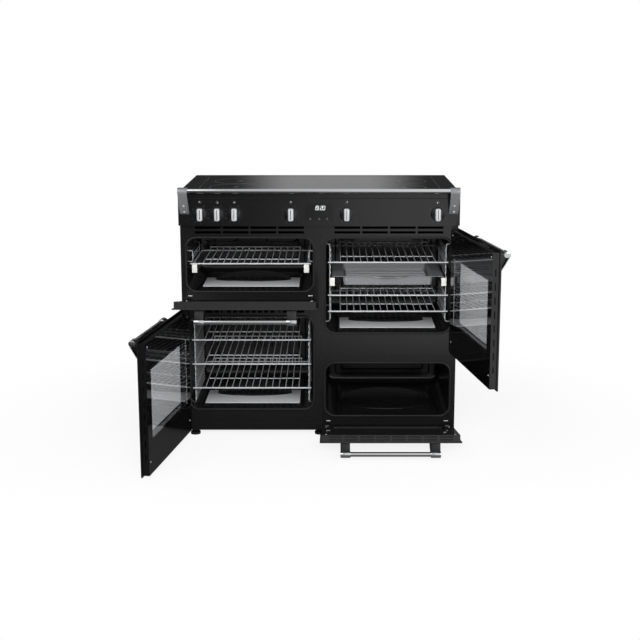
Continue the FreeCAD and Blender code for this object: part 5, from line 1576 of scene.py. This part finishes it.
@dataclass
class PanTrim:
    """The bright rolled edge of the roasting pan's crescent grip."""

    half: float = 0.080
    reach: float = 0.022
    wire: float = 0.0011
    sunk: float = 0.0008

    def build(self) -> None:
        """Rolls a wire along the grip's edge and fixes it to the pan."""
        low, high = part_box("pan")
        middle = (low.x + high.x) / 2
        radius = (self.half ** 2 + self.reach ** 2) / (2 * self.reach)
        spread = math.degrees(math.asin(self.half / radius))
        edge = arc((middle, low.y + radius), radius, -90 - spread, -90 + spread, 28)
        line = [(x, y, high.z - self.sunk) for x, y in edge]
        seat(from_curve("pan_grip_edge", line, radius=self.wire, sides=8), "slide_pan",
             STAINLESS)


# ---------------------------------------------------------------- studio

@dataclass(frozen=True)
class Lamp:
    """A rectangular soft lamp; glossy surfaces show only one that is mirrored."""

    name: str
    at: Point
    size: tuple[float, float]
    watts: float
    aim: Point = (0, 0, 0.5)
    mirrored: bool = True

    def hang(self) -> None:
        """Adds the lamp to the scene, turned to what it points at."""
        data = bpy.data.lights.new(self.name, "AREA")
        data.shape, data.energy = "RECTANGLE", self.watts
        data.size, data.size_y = self.size
        lamp = bpy.data.objects.new(self.name, data)
        lamp.location = self.at
        lamp.rotation_euler = (Vector(self.aim) - Vector(self.at)).to_track_quat("-Z", "Y").to_euler()
        lamp.visible_glossy = self.mirrored
        bpy.context.scene.collection.objects.link(lamp)


@dataclass
class Studio:
    """A pale floor, a white surround, soft lamps and the camera."""

    camera_at: Point = (0.0408, -4.1641, 1.3998)
    pitch: float = 11.457
    lens: float = 65.323
    sensor: float = 36.0
    shift: tuple[float, float] = (-0.01655, -0.05)
    floor_size: float = 60.0
    floor_z: float = -0.0002
    lamps: tuple[Lamp, ...] = (
        Lamp("key", (-1.6, -3.0, 3.0), (1.6, 1.6), 30),
        Lamp("fill", (2.4, -2.6, 1.8), (1.2, 2.0), 22),
        Lamp("front", (0.1, -4.7, 2.2), (2.4, 0.8), 270, (0, 0, 0.45), mirrored=False))

    def camera(self) -> None:
        """Sets the camera at the photograph's viewing angle."""
        data = bpy.data.cameras.new("camera")
        data.lens, data.sensor_width = self.lens, self.sensor
        data.shift_x, data.shift_y = self.shift
        camera = bpy.data.objects.new("camera", data)
        camera.location = self.camera_at
        camera.rotation_euler = (math.radians(90 - self.pitch), 0, 0)
        bpy.context.scene.collection.objects.link(camera)
        bpy.context.scene.camera = camera

    def surround(self) -> None:
        """A white surround for the camera and for clear glass; gloss sees it shaded to the sides."""
        world = bpy.data.worlds.new("studio")
        bpy.context.scene.world = world
        world.use_nodes = True
        tree = world.node_tree
        tree.nodes.clear()
        path = add_node(tree, "ShaderNodeLightPath")
        way = add_node(tree, "ShaderNodeTexCoord")
        axes = add_node(tree, "ShaderNodeSeparateXYZ", links={0: way.outputs["Generated"]})
        # Gloss that faces the front sees the surround a little darker on the left.
        side = add_node(tree, "ShaderNodeMapRange", {"From Min": -0.14, "From Max": 0.13, "To Min": 0.7,
                                                     "To Max": 1.0, "interpolation_type": "SMOOTHSTEP"},
                        {"Value": axes.outputs["X"]})
        # Gloss that faces the back sees a dim band in the middle and darkness beside it.
        back = add_node(tree, "ShaderNodeMath", {"operation": "ABSOLUTE"}, {0: axes.outputs["X"]})
        centre = add_node(tree, "ShaderNodeMapRange", {"From Min": 0.03, "From Max": 0.085, "To Min": 0.42,
                                                       "To Max": 0.04, "interpolation_type": "SMOOTHSTEP"},
                          {"Value": back.outputs[0]})
        behind = add_node(tree, "ShaderNodeMath", {"operation": "GREATER_THAN", 1: 0.0},
                          {0: axes.outputs["Y"]})
        gloss = add_node(tree, "ShaderNodeMix", {"data_type": "FLOAT"},
                         {0: behind.outputs[0], 2: side.outputs[0], 3: centre.outputs[0]})
        # The eye and clear glass see full white, gloss sees the above, and the rest gets an even light.
        seen = add_node(tree, "ShaderNodeMath", {"operation": "ADD", "use_clamp": True},
                        {0: path.outputs["Is Camera Ray"], 1: path.outputs["Is Transmission Ray"]})
        ambient = add_node(tree, "ShaderNodeMix", {"data_type": "FLOAT", 2: 0.35},
                           {0: path.outputs["Is Glossy Ray"], 3: gloss.outputs[0]})
        level = add_node(tree, "ShaderNodeMix", {"data_type": "FLOAT", 3: 1.0},
                         {0: seen.outputs[0], 2: ambient.outputs[0]})
        light = add_node(tree, "ShaderNodeBackground", {"Color": (1, 1, 1, 1)},
                         {"Strength": level.outputs[0]})
        add_node(tree, "ShaderNodeOutputWorld", links={"Surface": light.outputs[0]})

    def floor(self) -> None:
        """A wide pale floor that fades into the surround and keeps the cooker's shadow."""
        deselect()
        bpy.ops.mesh.primitive_plane_add(size=self.floor_size, location=(0, 0, self.floor_z))
        floor = bpy.context.object
        floor.name = "studio_floor"
        material = bpy.data.materials.new("white_painted_floor")
        material.use_nodes = True
        tree = material.node_tree
        tree.nodes.clear()
        paint = add_node(tree, "ShaderNodeBsdfDiffuse", {"Color": linear("#f4f4f4")})
        place = add_node(tree, "ShaderNodeTexCoord")
        axes = add_node(tree, "ShaderNodeSeparateXYZ", links={0: place.outputs["Object"]})
        distance = add_node(tree, "ShaderNodeVectorMath", {"operation": "LENGTH"},
                            {0: place.outputs["Object"]})
        # How far the paint gives way to the surround's white, with the distance from the cooker.
        fade = add_node(tree, "ShaderNodeMapRange", {"From Min": 0.7, "From Max": 1.6, "To Min": 0.86,
                                                     "To Max": 1.0, "interpolation_type": "SMOOTHSTEP"},
                        {"Value": distance.outputs["Value"]})
        # What gloss sees of the floor is a painted reflection: dark on the left and near the cooker, lighter
        # further ahead.
        side = add_node(tree, "ShaderNodeMapRange", {"From Min": -0.85, "From Max": 0.8, "To Min": 0.1,
                                                     "To Max": 0.95, "interpolation_type": "SMOOTHSTEP"},
                        {"Value": axes.outputs["X"]})
        ahead = add_node(tree, "ShaderNodeMapRange", {"From Min": -1.7, "From Max": -0.9, "To Min": 1.0,
                                                      "To Max": 0.07, "interpolation_type": "SMOOTHSTEP"},
                         {"Value": axes.outputs["Y"]})
        shade = add_node(tree, "ShaderNodeMath", {"operation": "MULTIPLY"},
                         {0: side.outputs[0], 1: ahead.outputs[0]})
        path = add_node(tree, "ShaderNodeLightPath")
        gloss = add_node(tree, "ShaderNodeMath", {"operation": "SUBTRACT", "use_clamp": True},
                         {0: path.outputs["Is Glossy Ray"], 1: path.outputs["Is Transmission Ray"]})
        shine = add_node(tree, "ShaderNodeMix", {"data_type": "FLOAT", 2: 1.0},
                         {0: gloss.outputs[0], 3: shade.outputs[0]})
        glow = add_node(tree, "ShaderNodeEmission", {"Color": (1, 1, 1, 1)}, {"Strength": shine.outputs[0]})
        seen = add_node(tree, "ShaderNodeMath", {"operation": "ADD", "use_clamp": True},
                        {0: path.outputs["Is Camera Ray"], 1: path.outputs["Is Transmission Ray"]})
        mirrored = add_node(tree, "ShaderNodeMath", {"operation": "ADD", "use_clamp": True},
                            {0: seen.outputs[0], 1: path.outputs["Is Glossy Ray"]})
        share = add_node(tree, "ShaderNodeMath", {"operation": "MULTIPLY"},
                         {0: mirrored.outputs[0], 1: fade.outputs[0]})
        mixed = add_node(tree, "ShaderNodeMixShader", links={0: share.outputs[0], 1: paint.outputs[0],
                                                              2: glow.outputs[0]})
        add_node(tree, "ShaderNodeOutputMaterial", links={"Surface": mixed.outputs[0]})
        floor.data.materials.append(material)

    def build(self) -> None:
        """Sets up the whole studio."""
        self.camera()
        self.surround()
        self.floor()
        for lamp in self.lamps:
            lamp.hang()
        bpy.context.scene.view_settings.view_transform = "Standard"


# ---------------------------------------------------------------- main

DOORS = (
    DoorLooks("grill", Swing.DROP, (-0.25, -0.058, 0.509), 0.287),
    DoorLooks("main", Swing.LEFT, (-0.486, -0.058, 0.023), 0.463),
    DoorLooks("tall", Swing.RIGHT, (0.486, -0.058, 0.320), 0.463),
    DoorLooks("slow", Swing.DROP, (0.25, -0.058, 0.036), 0.287, SlotShadePlates()),
)
KNOBS = (
    Knob("knob_zone_rear_left", -0.422), Knob("knob_zone_front_left", -0.361),
    Knob("knob_zone_middle", -0.300), Knob("knob_grill", -0.100), Knob("knob_main", 0.098),
    Knob("knob_tall", 0.421),
)
SHELVES = tuple(Shelf("shelf_" + name, "slide_shelf_" + name) for name in (
    "grill", "main_high", "main_mid", "main_low", "tall_high", "tall_mid", "tall_low"))
OVENS = (Oven("grill"), Oven("main"), Oven("tall"), Oven("slow", False, FloorDome(0.007, 0.40, 0.7)))
RACKS = WireRacks((
    SideRack("grill", -0.25, (0.671,), 0.240),
    SideRack("main", -0.25, (0.135, 0.158, 0.181, 0.204, 0.227, 0.250, 0.2725, 0.296, 0.319, 0.342, 0.364,
                             0.387, 0.410)),
    SideRack("tall", 0.25, (0.447, 0.472, 0.492, 0.512, 0.532, 0.612, 0.633, 0.654, 0.675, 0.696)),
))
CAPS = (RunnerCaps("runner_slides_grill", "slide_shelf_grill"), RunnerCaps("runner_slides_tall", "slide_pan"))


def seals() -> None:
    """Models the four beads and stands them in for the seals' CAD node."""
    beads = join("door_seal_beads", [oven.seal() for oven in OVENS])
    seat(beads, "case", SEAL_RUBBER, ["door_seals"])


def main() -> None:
    """Dresses the CAD nodes, builds every piece in order and sets up the studio."""
    logging.basicConfig(level=logging.INFO, format="%(message)s")
    dress_frame()
    for item in (*DOORS, KnobRow(KNOBS), *SHELVES, *OVENS, *CAPS, RACKS, FrontDetails(), PanTrim()):
        item.build()
    seals()
    FasciaPrint().build(KNOBS)
    for item in (Clock(), HobMarks(), Handrail(), Studio()):
        item.build()


if __name__ == "__main__":
    main()
